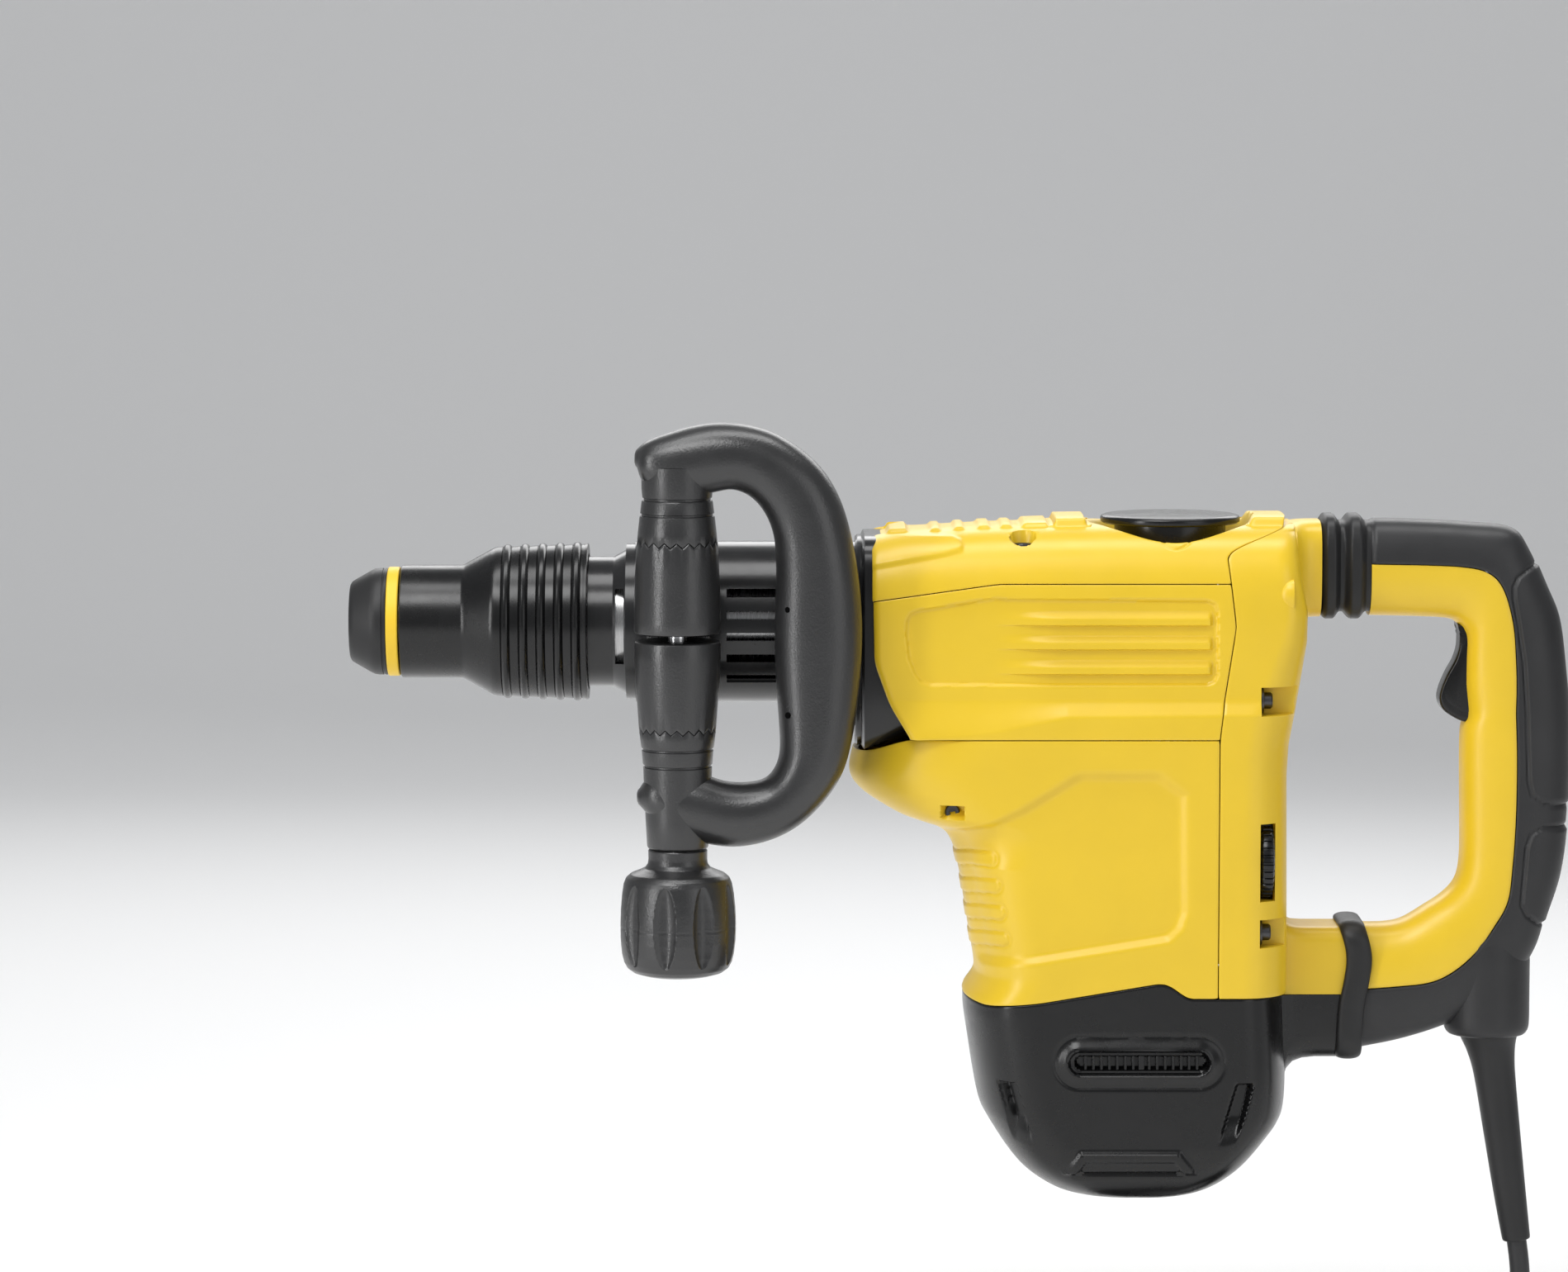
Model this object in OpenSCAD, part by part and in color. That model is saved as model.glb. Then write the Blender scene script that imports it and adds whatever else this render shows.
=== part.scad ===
// Electric demolition hammer with a swinging side handle.
// The hammer axis is X, the nose points to -X, +Z is up and -Y is the left-hand side.
// The origin is the mouth of the tool socket, on the hammer axis.

/* [Tool holder] */
// Radius of the socket bore
socket_r = 9.1; // [8.6:0.1:9.4]
// Depth of the socket bore
socket_depth = 95; // [92:1:96]
// Radius of the rubber nose cap
nose_r = 24.8; // [23:0.1:25.2]
// Radius of the smooth front of the lock sleeve
sleeve_r = 26.1; // [25.5:0.1:27]
// Radius of the ribbed rear of the lock sleeve
collar_r = 35.6; // [35:0.1:36.5]
// Travel of the lock sleeve
sleeve_travel = 11; // [8:0.5:11]

/* [Barrel] */
// Outer radius of the barrel
barrel_r = 37.4; // [36.5:0.1:37.6]
// Front face of the barrel
barrel_x = 132.7; // [132:0.1:134]
// Rear face of the barrel
barrel_end = 238; // [237:0.5:239]
// Number of cooling slits on each side
slit_count = 5; // [3:1:5]

/* [Housing] */
// Half width of the upper housing
body_half_w = 50; // [48:0.5:51]
// Half width of the motor housing
motor_half_w = 52; // [50:0.5:54]
// Wall thickness of the plastic covers
wall = 3; // [2.5:0.5:3]
// Place of the motor shaft along the hammer
motor_x = 354; // [353:0.5:355]
// Radius of the round cap on top
cap_r = 32.4; // [30:0.1:33]

/* [Drive] */
// Teeth on the motor pinion
pinion_teeth = 8; // [8:1:8]
// Teeth on the crank gear
gear_teeth = 40; // [40:1:40]
// Gear module
gear_module = 1.25; // [1.25:0.05:1.25]
// Distance from the crank axis to its pin
crank_throw = 16; // [12:1:16]
// Radius of the piston and the striker
piston_r = 24; // [22:0.5:24]

/* [Side handle] */
// Place of the handle column along the hammer
column_x = 153; // [152:0.5:154]
// Distance from the hammer axis to the column
column_out = 62; // [61:0.5:64]
// Radius of the column beside its gap
column_r = 19.7; // [19:0.1:20]
// Half thickness of the loop
loop_half = 16; // [14:0.5:16.5]
// Radius of the clamp knob
knob_r = 26.5; // [25:0.5:27]

/* [Rear handle] */
// Half width of the rear handle
grip_half_w = 19; // [18:0.5:20]
// Place of the handle pivot along the hammer
pivot_x = 466; // [465:0.5:467]
// Height of the handle pivot
pivot_z = -170; // [-171:0.5:-169]

/* [Power lead] */
// Diameter of the lead
lead_d = 9.3; // [8:0.1:10]
// Surface on which the coiled lead lies
lead_floor = -380; // [-385:1:-378]
// Centre of the coil along the hammer
coil_x = 410; // [405:1:415]
// Centre of the coil to the right of the hammer
coil_y = 42; // [40:1:44]
// Turns of the coil side by side
coil_wide = 4; // [4:1:4]
// Layers of the coil
coil_high = 3; // [3:1:3]

/* [Hidden] */
$fn = 72;
eps = 0.01;
run_fit = 0.06;
gap = 0.3;

pinion_r = gear_module * pinion_teeth / 2;
gear_r = gear_module * gear_teeth / 2;
crank_x = motor_x + pinion_r + gear_r;
rod_length = 60;
wrist_x = crank_x - crank_throw - rod_length;
piston_front = wrist_x - 24;
column_y = -column_out;

// Side outline of the whole hard housing, as X and Z
housing_outline = [
    [241.8, 41.8], [255, 44.7], [290, 47], [320, 49.6], [330, 51], [433, 51], [440, 48], [441.5, 0],
    [438, -30], [433.7, -54], [432.9, -68], [433.5, -168], [435, -210], [434.5, -224], [427.7, -238],
    [416.2, -252], [399.2, -264.3], [391.8, -266.5], [336.5, -266.5], [326.9, -263.8], [314.2, -255],
    [305.6, -245.5], [295.5, -229.3], [292.3, -222.8], [286.9, -192.8], [285, -170], [290.2, -161],
    [287.5, -143.8], [283.3, -117.6], [280.9, -104.5], [277.6, -96.3], [271, -93], [253.2, -88.2],
    [242, -80.8], [232.2, -71.8], [233.3, -58.3], [260.2, -51.2], [250, -34.3], [242.8, -15]
];
// Areas of the separate covers in that outline
top_area = [[225, 11], [243, 13.4], [299.6, 21.3], [405.6, 21.3], [404, 34], [409, 37.5],
    [434.6, 47], [434.6, 60], [225, 60]];
rear_area = [[405.6, 21.3], [404, 34], [409, 37.5], [434.6, 47], [434.6, 60], [470, 60], [470, -168],
    [400.6, -168], [400.6, -50], [402.8, -32], [408, 1.5]];
side_area = [[225, 11], [243, 13.4], [299.6, 21.3], [405.6, 21.3], [408, 1.5], [402.8, -32],
    [400.6, -50], [262, -50], [225, -59.8]];
motor_area = [[225, -59.8], [262, -50], [400.6, -50], [400.6, -169.3], [386.8, -169.3],
    [376.9, -162.6], [373.9, -162.3], [318.9, -171.5], [294, -173.8], [225, -171.5]];
end_area = [[225, -171.5], [294, -173.8], [318.9, -171.5], [373.9, -162.3], [376.9, -162.6],
    [386.8, -169.3], [400.6, -169.3], [400.6, -168], [470, -168], [470, -290], [225, -290]];
nose_block = [[234, 36], [237, 41], [241.6, 41.3], [242.5, -15.1], [249.6, -34.4],
    [259.6, -51], [234.2, -57.6]];

// Side outline of the rear handle, its black back and its finger gap
handle_back = [[472.5, 47.9], [500, 47.3], [538.5, 44.3], [543, 41.2], [550.2, 26.2], [558.3, 10.3],
    [562, 0], [565, -25], [565.9, -54], [565.8, -84], [564.2, -103], [560, -126.7], [554, -142],
    [549.8, -160], [511, -189.5], [499, -193], [473.6, -199]];
handle_split = [[473.6, -170], [510.4, -164.7], [520.8, -154], [536.4, -132.7], [538.7, -118.4],
    [541, -83], [540.3, -30.2], [537.2, 1.5], [531, 19], [522, 27.1], [472.5, 28.2]];
handle_inside = [[472.5, 3.2], [510.9, 1.8], [517.1, -50], [517.8, -117.7], [505.2, -130.2],
    [489.5, -140.1], [473.6, -141.1]];
trigger_outline = [[513.5, 0.6], [515, -10.8], [509.5, -28], [506.4, -36.7], [507.5, -42],
    [511.5, -45.6], [516.2, -46.9], [525.5, -46], [528, -30], [528.5, -3], [524, 3.5], [517.5, 3]];
trigger_pivot = [523.5, -2];

// Side outline of the side loop and of the gap inside it
loop_outline = [[153, 92.5], [172, 96.1], [194, 92.7], [216.6, 77.8], [229.7, 55.3], [235.3, 29],
    [236.9, 2.6], [234.3, -38.9], [228, -65.4], [213, -84.4], [198, -93.8], [179, -97.4], [153, -95]];
loop_gap = [[153, 63], [172.4, 66], [183, 65], [192.2, 57], [197.8, 44], [197.1, 2.6], [199.7, -50.3],
    [197, -63.5], [183, -68.4], [172.3, -67.3], [153, -62]];
teeth_z = [41, -43.3];

// Height and distance from the middle of the four rear cover screws
screw_z = [-32.5, -139.5];
screw_y = 41;

hub_end = [94, -98];

// Middle line of the lead from the strain relief to the coil, then from the coil to the plug
lead_route = [
    [545.5, 0, -291.5], [547, 0, -303], [547.4, 0, -315], [545.6, 0, -328], [540.6, 0, -341],
    [532, 0, -353.5], [520.5, 0, -363.5], [506.5, -0.4, -370.6], [491, -2, -374.6], [475, -6.2, -375.3],
    [459, -12.2, -375.3], [443, -18.6, -375.3], [427, -24.2, -375.3], [410, -26.6, -375.3]];
tail_route = [[434, -3, -347.1], [426, -5.8, -347], [418, -7.3, -346.3], [410, -7.8, -344],
    [402, -7.8, -340.8], [394, -7.8, -338.8]];
boot_top = [530.6, 0, -194];
boot_tip = lead_route[0];
boot_tilt = atan2(boot_tip[0] - boot_top[0], boot_top[2] - boot_tip[2]);
boot_length = norm(boot_tip - boot_top);
coil_mid_r = 54.5;
coil_half = coil_wide * 9.4 / 2;
coil_top = lead_floor + coil_high * lead_d + 0.3;
plug_r = 13;
plug_end = tail_route[5];

// ---- shapes that repeat ----

// Solid turned about the hammer axis from points given as radius and X
module turned(points) rotate([0, 90, 0]) rotate_extrude() polygon(points);

// Round bar or tube along X
module x_bar(r, x0, x1, at = [0, 0]) translate([x0, at[0], at[1]]) rotate([0, 90, 0])
    cylinder(r = r, h = x1 - x0);

// Round bar along Z
module z_bar(r, z0, z1, at = [0, 0]) translate([at[0], at[1], z0]) cylinder(r = r, h = z1 - z0);

module z_tube(ro, ri, z0, z1, at = [0, 0]) difference() {
    z_bar(ro, z0, z1, at);
    z_bar(ri, z0 - 1, z1 + 1, at);
}

// Block between two corners
module block(a, b) translate(a) cube(b - a);

// Side outline, as X and Z, carried through Y by half_w each way
module side_slab(points, half_w, inset = 0) translate([0, half_w, 0]) rotate([90, 0, 0])
    linear_extrude(2 * half_w) offset(delta = -inset) polygon(points);

// Rectangle with round corners between two points, larger or smaller by the inset
module round_box(a, b, r, inset = 0) translate(a + [inset, inset]) translate([r, r])
    offset(r = r, $fn = 32) square([b[0] - a[0] - 2 * (r + inset), b[1] - a[1] - 2 * (r + inset)]);

// Section in Y and Z carried along X
module x_section(x0, x1) translate([x0, 0, 0]) rotate([90, 0, 90]) linear_extrude(x1 - x0) children();

// Springs are drawn as a row of turns
module x_spring(x0, x1, r, wire, turns, at = [0, 0]) for (i = [0:turns - 1])
    translate([x0 + wire + (x1 - x0 - 2 * wire) * i / (turns - 1), at[0], at[1]]) rotate([0, 90, 0])
        rotate_extrude() translate([r, 0]) circle(r = wire, $fn = 16);

// ---- housing ----

module housing_block(inset) intersection() {
    side_slab(housing_outline, 80, inset);
    union() {
        intersection() {
            x_section(225, 450) round_box([-body_half_w, -90], [body_half_w, 51.2], 26, inset);
            block([220, -80, -55], [460, 80, 60]);
        }
        intersection() {
            translate([0, 0, -280]) linear_extrude(230)
                round_box([230, -motor_half_w], [436, motor_half_w], 24, inset);
            x_section(225, 450) round_box([-motor_half_w, -268], [motor_half_w, 0], 24, inset);
        }
    }
}

module housing_shell() difference() {
    housing_block(0);
    housing_block(wall);
}

module shell_part(area) intersection() {
    housing_shell();
    side_slab(area, 80);
}

// The upper corners of its front are cut round, as room for the side handle to swing past
module gear_case_body() {
    difference() {
        side_slab(nose_block, 40);
        difference() {
            block([230, -45, -42], [237.5, 45, 50]);
            x_bar(45, 229, 238);
        }
    }
    x_bar(36.8, 240, 345);
    z_bar(41.5, -60, 38, [374, 0]);
}

module top_cover() color("gold") difference() {
    shell_part(top_area);
    z_bar(cap_r + gap, 30, 70, [380.5, 0]);
    x_bar(38, 225, 260);
    for (side = [-1, 1]) z_bar(5.5, 20, 70, [311, 31 * side]);
}

module side_cover(side) color("gold") difference() {
    intersection() {
        shell_part(side_area);
        translate([225, side < 0 ? -80 : 0, -100]) cube([250, 80, 160]);
    }
    x_bar(38, 225, 260);
}

module left_side_cover() side_cover(-1);
module right_side_cover() side_cover(1);

module motor_housing() color("gold") shell_part(motor_area);

// Collar for the bellows, the stub of the lower arm and the notches of four screws
module rear_cover() color("gold") difference() {
    union() {
        shell_part(rear_area);
        difference() {
            x_section(436, 449.4) round_box([-21, 3], [21, 48.1], 8);
            x_section(430, 460) round_box([-21, 3], [21, 48.1], 8, wall);
            housing_block(wall);
        }
        difference() {
            block([430, -grip_half_w, -167.9], [459, grip_half_w, -141]);
            block([433, -grip_half_w + wall, -170], [460, grip_half_w - wall, -144]);
            housing_block(wall);
        }
        intersection() {
            for (side = [-1, 1], z = screw_z) x_bar(9, 404, 421.2, [screw_y * side, z]);
            housing_block(wall - eps);
        }
    }
    for (side = [-1, 1], z = screw_z) {
        block([421.2, side < 0 ? -70 : 36, z - 6.5], [450, side < 0 ? -36 : 70, z + 6.5]);
        x_bar(2.3, 400, 430, [screw_y * side, z]);
    }
    block([419.6, -60, -124.6], [426.7, -40, -88.8]);
}

module motor_end_cap() color("dimgray") difference() {
    union() {
        shell_part(end_area);
        intersection() {
            housing_block(wall - eps);
            block([230, -80, -226], [440, 80, -222]);
        }
        difference() {
            block([430, -grip_half_w, -203.3], [459, grip_half_w, -168.1]);
            block([433, -grip_half_w + wall, -200.3], [460, grip_half_w - wall, -160]);
            housing_block(wall);
        }
    }
    z_bar(12.95, -230, -220, [motor_x, 0]);
    for (side = [-1, 1], i = [0:13])
        translate([337.5 + i * 4.1 + (i > 6 ? 3 : 0), side < 0 ? -60 : 40, -199]) cube([2, 20, 5.5]);
}

module top_cap() color("black") {
    z_bar(cap_r, 46, 50.6, [380.5, 0]);
    z_bar(26, 38, 46, [380.5, 0]);
}

module gear_case() color("dimgray") difference() {
    gear_case_body();
    x_bar(barrel_r + 0.02, 225, barrel_end);
    x_bar(30.02, 225, 340);
    x_bar(piston_r + gap, 335, 352);
    z_bar(38.5, -42, 33, [374, 0]);
    z_bar(7.5, -70, -30, [motor_x, 0]);
    z_bar(16, -56, -41, [crank_x, 0]);
    z_bar(9, -70, -41, [crank_x, 0]);
}

// ---- barrel and hammer mechanism ----

module barrel_housing() color("black") difference() {
    x_bar(barrel_r, barrel_x, barrel_end);
    x_bar(33, barrel_x - 1, barrel_end + 1);
    for (side = [-1, 1], i = [0:slit_count - 1])
        block([175, side < 0 ? -60 : 22, 14.2 - 10 * i], [216, side < 0 ? -22 : 60, 18 - 10 * i]);
}

module neck_flange() color("black") difference() {
    turned([[27.5, 111], [30.2, 111], [30.2, 122.5], [33.5, 128.4], [36.2, 128.4], [36.2, barrel_x],
        [32.95, barrel_x], [32.95, 152], [22 + run_fit, 152], [22 + run_fit, 128.2], [27.5, 128.2]]);
    for (side = [-1, 1])
        block([123.6, side < 0 ? -45 : 15, -17.4], [127.7, side < 0 ? -15 : 45, 17.4]);
}

module cylinder_liner() color("silver") turned([[10 + run_fit, 186], [10 + run_fit, 200],
    [piston_r + run_fit, 200], [piston_r + run_fit, 332], [30, 332], [30, 170], [32.95, 170],
    [32.95, 160], [26, 160], [22.5, 170], [22.5, 186]]);

module tool_spindle() color("gray") difference() {
    turned([[socket_r, 0], [13, 0], [13, 8], [17, 12], [17, 68], [22, 70], [22, 156],
        [15 + run_fit, 156], [15 + run_fit, socket_depth], [socket_r, socket_depth]]);
    for (side = [-1, 1])
        block([30.5, -3.9, side < 0 ? -18 : 9.5], [49.5, 3.9, side < 0 ? -9.5 : 18]);
}

module lock_roller(side) color("silver") x_bar(3.5, 32, 48, [0, side * 13.2]);
module lock_roller_upper() lock_roller(1);
module lock_roller_lower() lock_roller(-1);

module nose_cap() color("black") turned([[13, 0], [18.5, 0.4], [nose_r - 0.5, 11], [nose_r, 13],
    [nose_r, 17.7], [17, 17.7], [17, 12], [13, 8]]);

module retaining_ring() color("gold") turned([[17, 17.7], [nose_r + 0.5, 17.7],
    [nose_r + 0.5, 23.2], [17, 23.2]]);

module index_ring() color("silver") turned([[22, 114], [27.2, 114], [27.2, 127.9], [22, 127.9]]);

function rib(x, h) = [[collar_r, x - 2.1], [collar_r + h, x - 1.1], [collar_r + h, x + 1.1],
    [collar_r, x + 2.1]];

module lock_sleeve() color("black") turned(concat(
    [[19.6, 23.6], [sleeve_r - 0.5, 23.6], [sleeve_r, 24.4], [sleeve_r, 52.4], [collar_r - 0.9, 67]],
    [for (i = [0:4], p = rib(73 + 8.2 * i, 0.9)) p],
    [[collar_r + 0.8, 110.7], [31.6, 110.7], [31.6, 68], [19.6, 54]]));

module sleeve_spring() color("silver") x_spring(70.2, 113.6, 25.2, 1.5, 7);

module piston() color("silver") difference() {
    x_bar(piston_r, piston_front, wrist_x + 10);
    x_bar(18, wrist_x - 14, wrist_x + 11);
}

// The rod stays in the piston's bearing and its open end stays above the crank pin
module connecting_rod() color("gray") {
    difference() {
        union() {
            z_bar(9, -5, 5, [wrist_x, 0]);
            block([wrist_x, -5, -5], [wrist_x + rod_length, 5, 5]);
            z_bar(10, -5, 5, [wrist_x + rod_length, 0]);
        }
        z_bar(5.4, -6, 6, [wrist_x + rod_length, 0]);
    }
    block([wrist_x - 14, -4, -4], [wrist_x - 8, 4, 4]);
}

module striker() color("silver") x_bar(piston_r, 222, 262);

module beat_piece() color("silver") turned([[0, 97], [8, 97], [8.5, 98], [8.5, 104], [15, 104],
    [15, 150], [10, 154], [10, 211], [9, 212], [0, 212]]);

// Outline of a spur gear with short straight-sided teeth and a gap at angle zero when odd
module gear_2d(teeth, turn) {
    pitch_r = gear_module * teeth / 2;
    root = pitch_r - 1.3;
    tip = pitch_r + 0.9;
    step = 360 / teeth;
    side_root = 0.95 / root * 57.3;
    side_tip = 0.38 / tip * 57.3;
    polygon([for (i = [0:teeth - 1], p = [[root, -side_root], [tip, -side_tip], [tip, side_tip],
        [root, side_root]]) p[0] * [cos(i * step + p[1] + turn), sin(i * step + p[1] + turn)]]);
}

module crank_gear() color("silver") translate([crank_x, 0, 0]) {
    translate([0, 0, -34]) linear_extrude(9.5) gear_2d(gear_teeth, 180 / gear_teeth);
    z_bar(22, -25, -9);
    z_bar(8, -58, -30);
    z_bar(5, -10, -5.5, [-crank_throw, 0]);
}

module drive_bearings() color("silver") {
    z_tube(15.98, 8 + run_fit, -56, -44, [crank_x, 0]);
    z_tube(13, 5 + run_fit, -71, -60.2, [motor_x, 0]);
    z_tube(12.9, 5 + run_fit, -226, -217, [motor_x, 0]);
}

// ---- motor ----

module rotor_shaft() color("gray") {
    z_bar(5, -230, -35, [motor_x, 0]);
    translate([motor_x, 0, -36]) linear_extrude(11.5) gear_2d(pinion_teeth, 0);
}

module armature_core() color("gray") {
    z_tube(24.4, 5, -150, -98, [motor_x, 0]);
    z_tube(19, 5, -160, -150, [motor_x, 0]);
    z_tube(19, 5, -98, -88, [motor_x, 0]);
}

module commutator() color("peru") z_tube(14, 5, -205, -183, [motor_x, 0]);

module cooling_fan() color("black") difference() {
    union() {
        z_tube(12, 5, -84, -73, [motor_x, 0]);
        z_tube(36, 11, -76, -73, [motor_x, 0]);
        for (i = [0:11]) translate([motor_x, 0, -84]) rotate([0, 0, 30 * i])
            translate([11, -1, 0]) cube([24, 2, 9]);
    }
    z_bar(5, -90, -60, [motor_x, 0]);
}

module stator_core() color("gray") z_tube(44, 25.2, -155, -100, [motor_x, 0]);

module field_coils() color("peru") {
    z_tube(42, 27, -168, -155, [motor_x, 0]);
    z_tube(42, 27, -100, -90, [motor_x, 0]);
}

module fan_baffle() color("black") z_tube(42, 13, -71, -67, [motor_x, 0]);

module brush_bridge() color("black") {
    z_tube(46, 40, -207, -203, [motor_x, 0]);
    for (side = [-1, 1]) translate([motor_x, 0, 0]) rotate([0, 0, 90 * side]) difference() {
        block([16, -7, -203], [44, 7, -187]);
        block([15, -4.1, -200.1], [40, 4.1, -189.9]);
    }
}

module carbon_brushes() color("dimgray") for (side = [-1, 1]) translate([motor_x, 0, 0])
    rotate([0, 0, 90 * side]) block([14.3, -4, -200], [34, 4, -190]);

// Board with the speed control and the post on which the thumbwheel turns
module control_board() color("darkgreen") {
    block([408, -46, -129], [410, -12, -78]);
    block([410, -43, -116], [416, -24, -97]);
    x_bar(2, 416, 428, [-33.5, -106.7]);
}

module speed_dial() color("black") difference() {
    x_bar(18.5, 420, 426.3, [-33.5, -106.7]);
    x_bar(2 + run_fit, 415, 430, [-33.5, -106.7]);
}

module rear_cover_screws() color("dimgray") for (side = [-1, 1], z = screw_z) {
    x_bar(3.8, 421.2, 425, [screw_y * side, z]);
    x_bar(2.2, 404, 421.2, [screw_y * side, z]);
}

// ---- side handle ----

// Column half with the saddle that holds the band
module clamp_half(z0, z1, r0, r1) difference() {
    union() {
        translate([column_x, column_y, z0]) cylinder(r1 = r0, r2 = r1, h = z1 - z0);
        block([column_x - 14.5, column_y, min(abs(z0), abs(z1)) == abs(z0) ? z0 : z1 - 34],
            [column_x + 14.5, -18, min(abs(z0), abs(z1)) == abs(z0) ? z0 + 34 : z1]);
    }
    x_bar(41.4, 100, 200);
    z_bar(4.5, -60, 60, [column_x, column_y]);
}

module clamp_upper() color("dimgray") clamp_half(0.4, teeth_z[0], column_r, 18.4);
module clamp_lower() color("dimgray") clamp_half(teeth_z[1], -3.2, 17.6, column_r);

module clamp_band() color("gray") difference() {
    x_bar(41.4, column_x - 14.5, column_x + 14.5);
    x_bar(barrel_r + run_fit, 100, 200);
    block([120, -50, -3.2], [190, -20, 0.4]);
}

module clamp_bolt() color("silver") {
    z_bar(4.2, -146, 70, [column_x, column_y]);
    translate([column_x, column_y, 70]) cylinder(r = 8, h = 7);
}

module side_handle_loop() color("dimgray") difference() {
    union() {
        translate([0, column_y, 0]) difference() {
            side_slab(loop_outline, loop_half);
            side_slab(loop_gap, loop_half + 1);
        }
        translate([column_x, column_y, teeth_z[0] + gap])
            cylinder(r1 = 18.2, r2 = 15.6, h = hub_end[0] - teeth_z[0] - gap);
        translate([column_x, column_y, hub_end[1]])
            cylinder(r1 = 14, r2 = 17.4, h = teeth_z[1] - gap - hub_end[1]);
    }
    z_bar(4.2 + run_fit, -110, 72, [column_x, column_y]);
    z_bar(8.4, 69.6, 77.5, [column_x, column_y]);
}

module clamp_knob() color("dimgray") difference() {
    translate([column_x, column_y, 0]) rotate_extrude() polygon([[0, -156.8], [8, -156.6],
        [18, -154.5], [knob_r - 2.6, -151], [knob_r, -130], [knob_r - 2.6, -109.5], [13.6, -106],
        [13.4, hub_end[1] - 0.4], [0, hub_end[1] - 0.4]]);
    z_bar(4.2 + run_fit, -147, -90, [column_x, column_y]);
}

// ---- rear handle ----

module handle_bracket() color("gray") difference() {
    union() {
        block([433.95, -6, -178], [pivot_x, 6, -162]);
        translate([pivot_x, 6, pivot_z]) rotate([90, 0, 0]) cylinder(r = 8, h = 12);
    }
    translate([pivot_x, 20, pivot_z]) rotate([90, 0, 0]) cylinder(r = 5, h = 40);
}

module pivot_pin() color("silver") translate([pivot_x, 14, pivot_z]) rotate([90, 0, 0])
    cylinder(r = 5, h = 28);

module lower_strap() color("black") difference() {
    x_section(459.1, 472) round_box([-21, -202], [21, -139.6], 8);
    x_section(450, 480) round_box([-21, -202], [21, -139.6], 8, 4);
}

module handle_spring() color("silver") x_spring(441.3, 472.3, 7.5, 1.3, 6, [0, 16]);

module bellows_ring(x0, x1, grow) difference() {
    x_section(x0, x1) round_box([-17.5 - grow, 4.6 - grow], [17.5 + grow, 46 + grow], 7 + grow);
    x_section(x0 - 1, x1 + 1) round_box([-15, 7], [15, 43.5], 5);
}

module upper_bellows() color("black") {
    bellows_ring(449.5, 472.4, 0);
    for (x = [451, 462.5]) bellows_ring(x, x + 8.5, 3.4);
}

module handle_area() polygon(concat(handle_split, handle_inside));
module back_area() polygon(concat(handle_back, handle_split));

// Hollow moulding with closed sides, from an outline of the handle
module moulding(half_w, side_wall, edge_wall) difference() {
    translate([0, half_w, 0]) rotate([90, 0, 0]) linear_extrude(2 * half_w) children();
    translate([0, half_w - side_wall, 0]) rotate([90, 0, 0]) linear_extrude(2 * (half_w - side_wall))
        offset(delta = -edge_wall) children();
}

// Room for the pivot bracket, the cord gland and the trigger
module handle_openings() {
    block([511, -8.4, -50.5], [522, 8.4, 3.9]);
    translate([pivot_x, 30, pivot_z]) rotate([90, 0, 0]) cylinder(r = 5 + run_fit, h = 60);
    block([pivot_x - 12, -6.3, -181], [476, 6.3, -159]);
    z_bar(19.6, -200, -160, [530, 0]);
}

// Half of the handle with a lug on the pivot
module handle_half(side) color("gold") difference() {
    intersection() {
        union() {
            moulding(grip_half_w, 4, 3.5) handle_area();
            for (s = [-1, 1]) {
                block([pivot_x, s < 0 ? -13 : 6.3, -175], [478, s < 0 ? -6.3 : 13, -165]);
                translate([pivot_x, s < 0 ? -6.3 : 13, pivot_z]) rotate([90, 0, 0])
                    cylinder(r = 7, h = 6.7);
            }
        }
        translate([430, side < 0 ? -60 : 0, -250]) cube([160, 60, 320]);
    }
    handle_openings();
}

module handle_left_half() handle_half(-1);
module handle_right_half() handle_half(1);

module grip_overmould() color("black") difference() {
    moulding(grip_half_w + 0.5, 5, 4) back_area();
    block([pivot_x - 12, -13.3, -181], [478.3, 13.3, -159]);
    z_bar(19.6, -200, -160, [530, 0]);
}

module cord_gland() color("black") z_bar(19.5, boot_top[2], -160.1, [530, 0]);

module switch_body() color("dimgray") block([521.6, -12, -102], [535.5, 12, -54]);

module trigger() color("black") difference() {
    union() {
        side_slab(trigger_outline, 8);
        translate([trigger_pivot[0], 14.9, trigger_pivot[1]]) rotate([90, 0, 0])
            cylinder(r = 2.5, h = 29.8);
    }
    block([519, -5.5, -42], [540, 5.5, -8]);
}

// ---- power lead ----

module cord_boot() color("black") intersection() {
    translate(boot_tip) rotate([0, -boot_tilt, 0]) rotate_extrude() polygon([[0, 0], [lead_d / 2 + 0.9, 0],
        [lead_d / 2 + 1.6, 30], [9.5, 55], [12.4, 80], [13.2, boot_length + 4], [0, boot_length + 4]]);
    block([480, -40, -320], [580, 40, boot_top[2]]);
}

function unit(v) = v / norm(v);
function along(route, i) = unit(route[min(i + 1, len(route) - 1)] - route[max(i - 1, 0)]);
function ring_points(c, t, r, sides) = let(u = unit(cross(t, [0, 1, 0])), w = cross(t, u))
    [for (k = [0:sides - 1]) c + r * (cos(360 * k / sides) * u + sin(360 * k / sides) * w)];

// Tube of the lead swept along a route
module lead_tube(route, r, sides = 10) {
    rings = len(route);
    points = [for (i = [0:rings - 1], p = ring_points(route[i], along(route, i), r, sides)) p];
    walls = [for (i = [0:rings - 2], k = [0:sides - 1]) let(a = i * sides + k,
        b = i * sides + (k + 1) % sides) [a, b, b + sides, a + sides]];
    ends = [[for (k = [sides - 1:-1:0]) k], [for (k = [0:sides - 1]) (rings - 1) * sides + k]];
    polyhedron(points, concat(walls, ends), convexity = 6);
}

module power_lead() color("black") {
    lead_tube(lead_route, lead_d / 2);
    lead_tube(tail_route, lead_d / 2);
}

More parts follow.
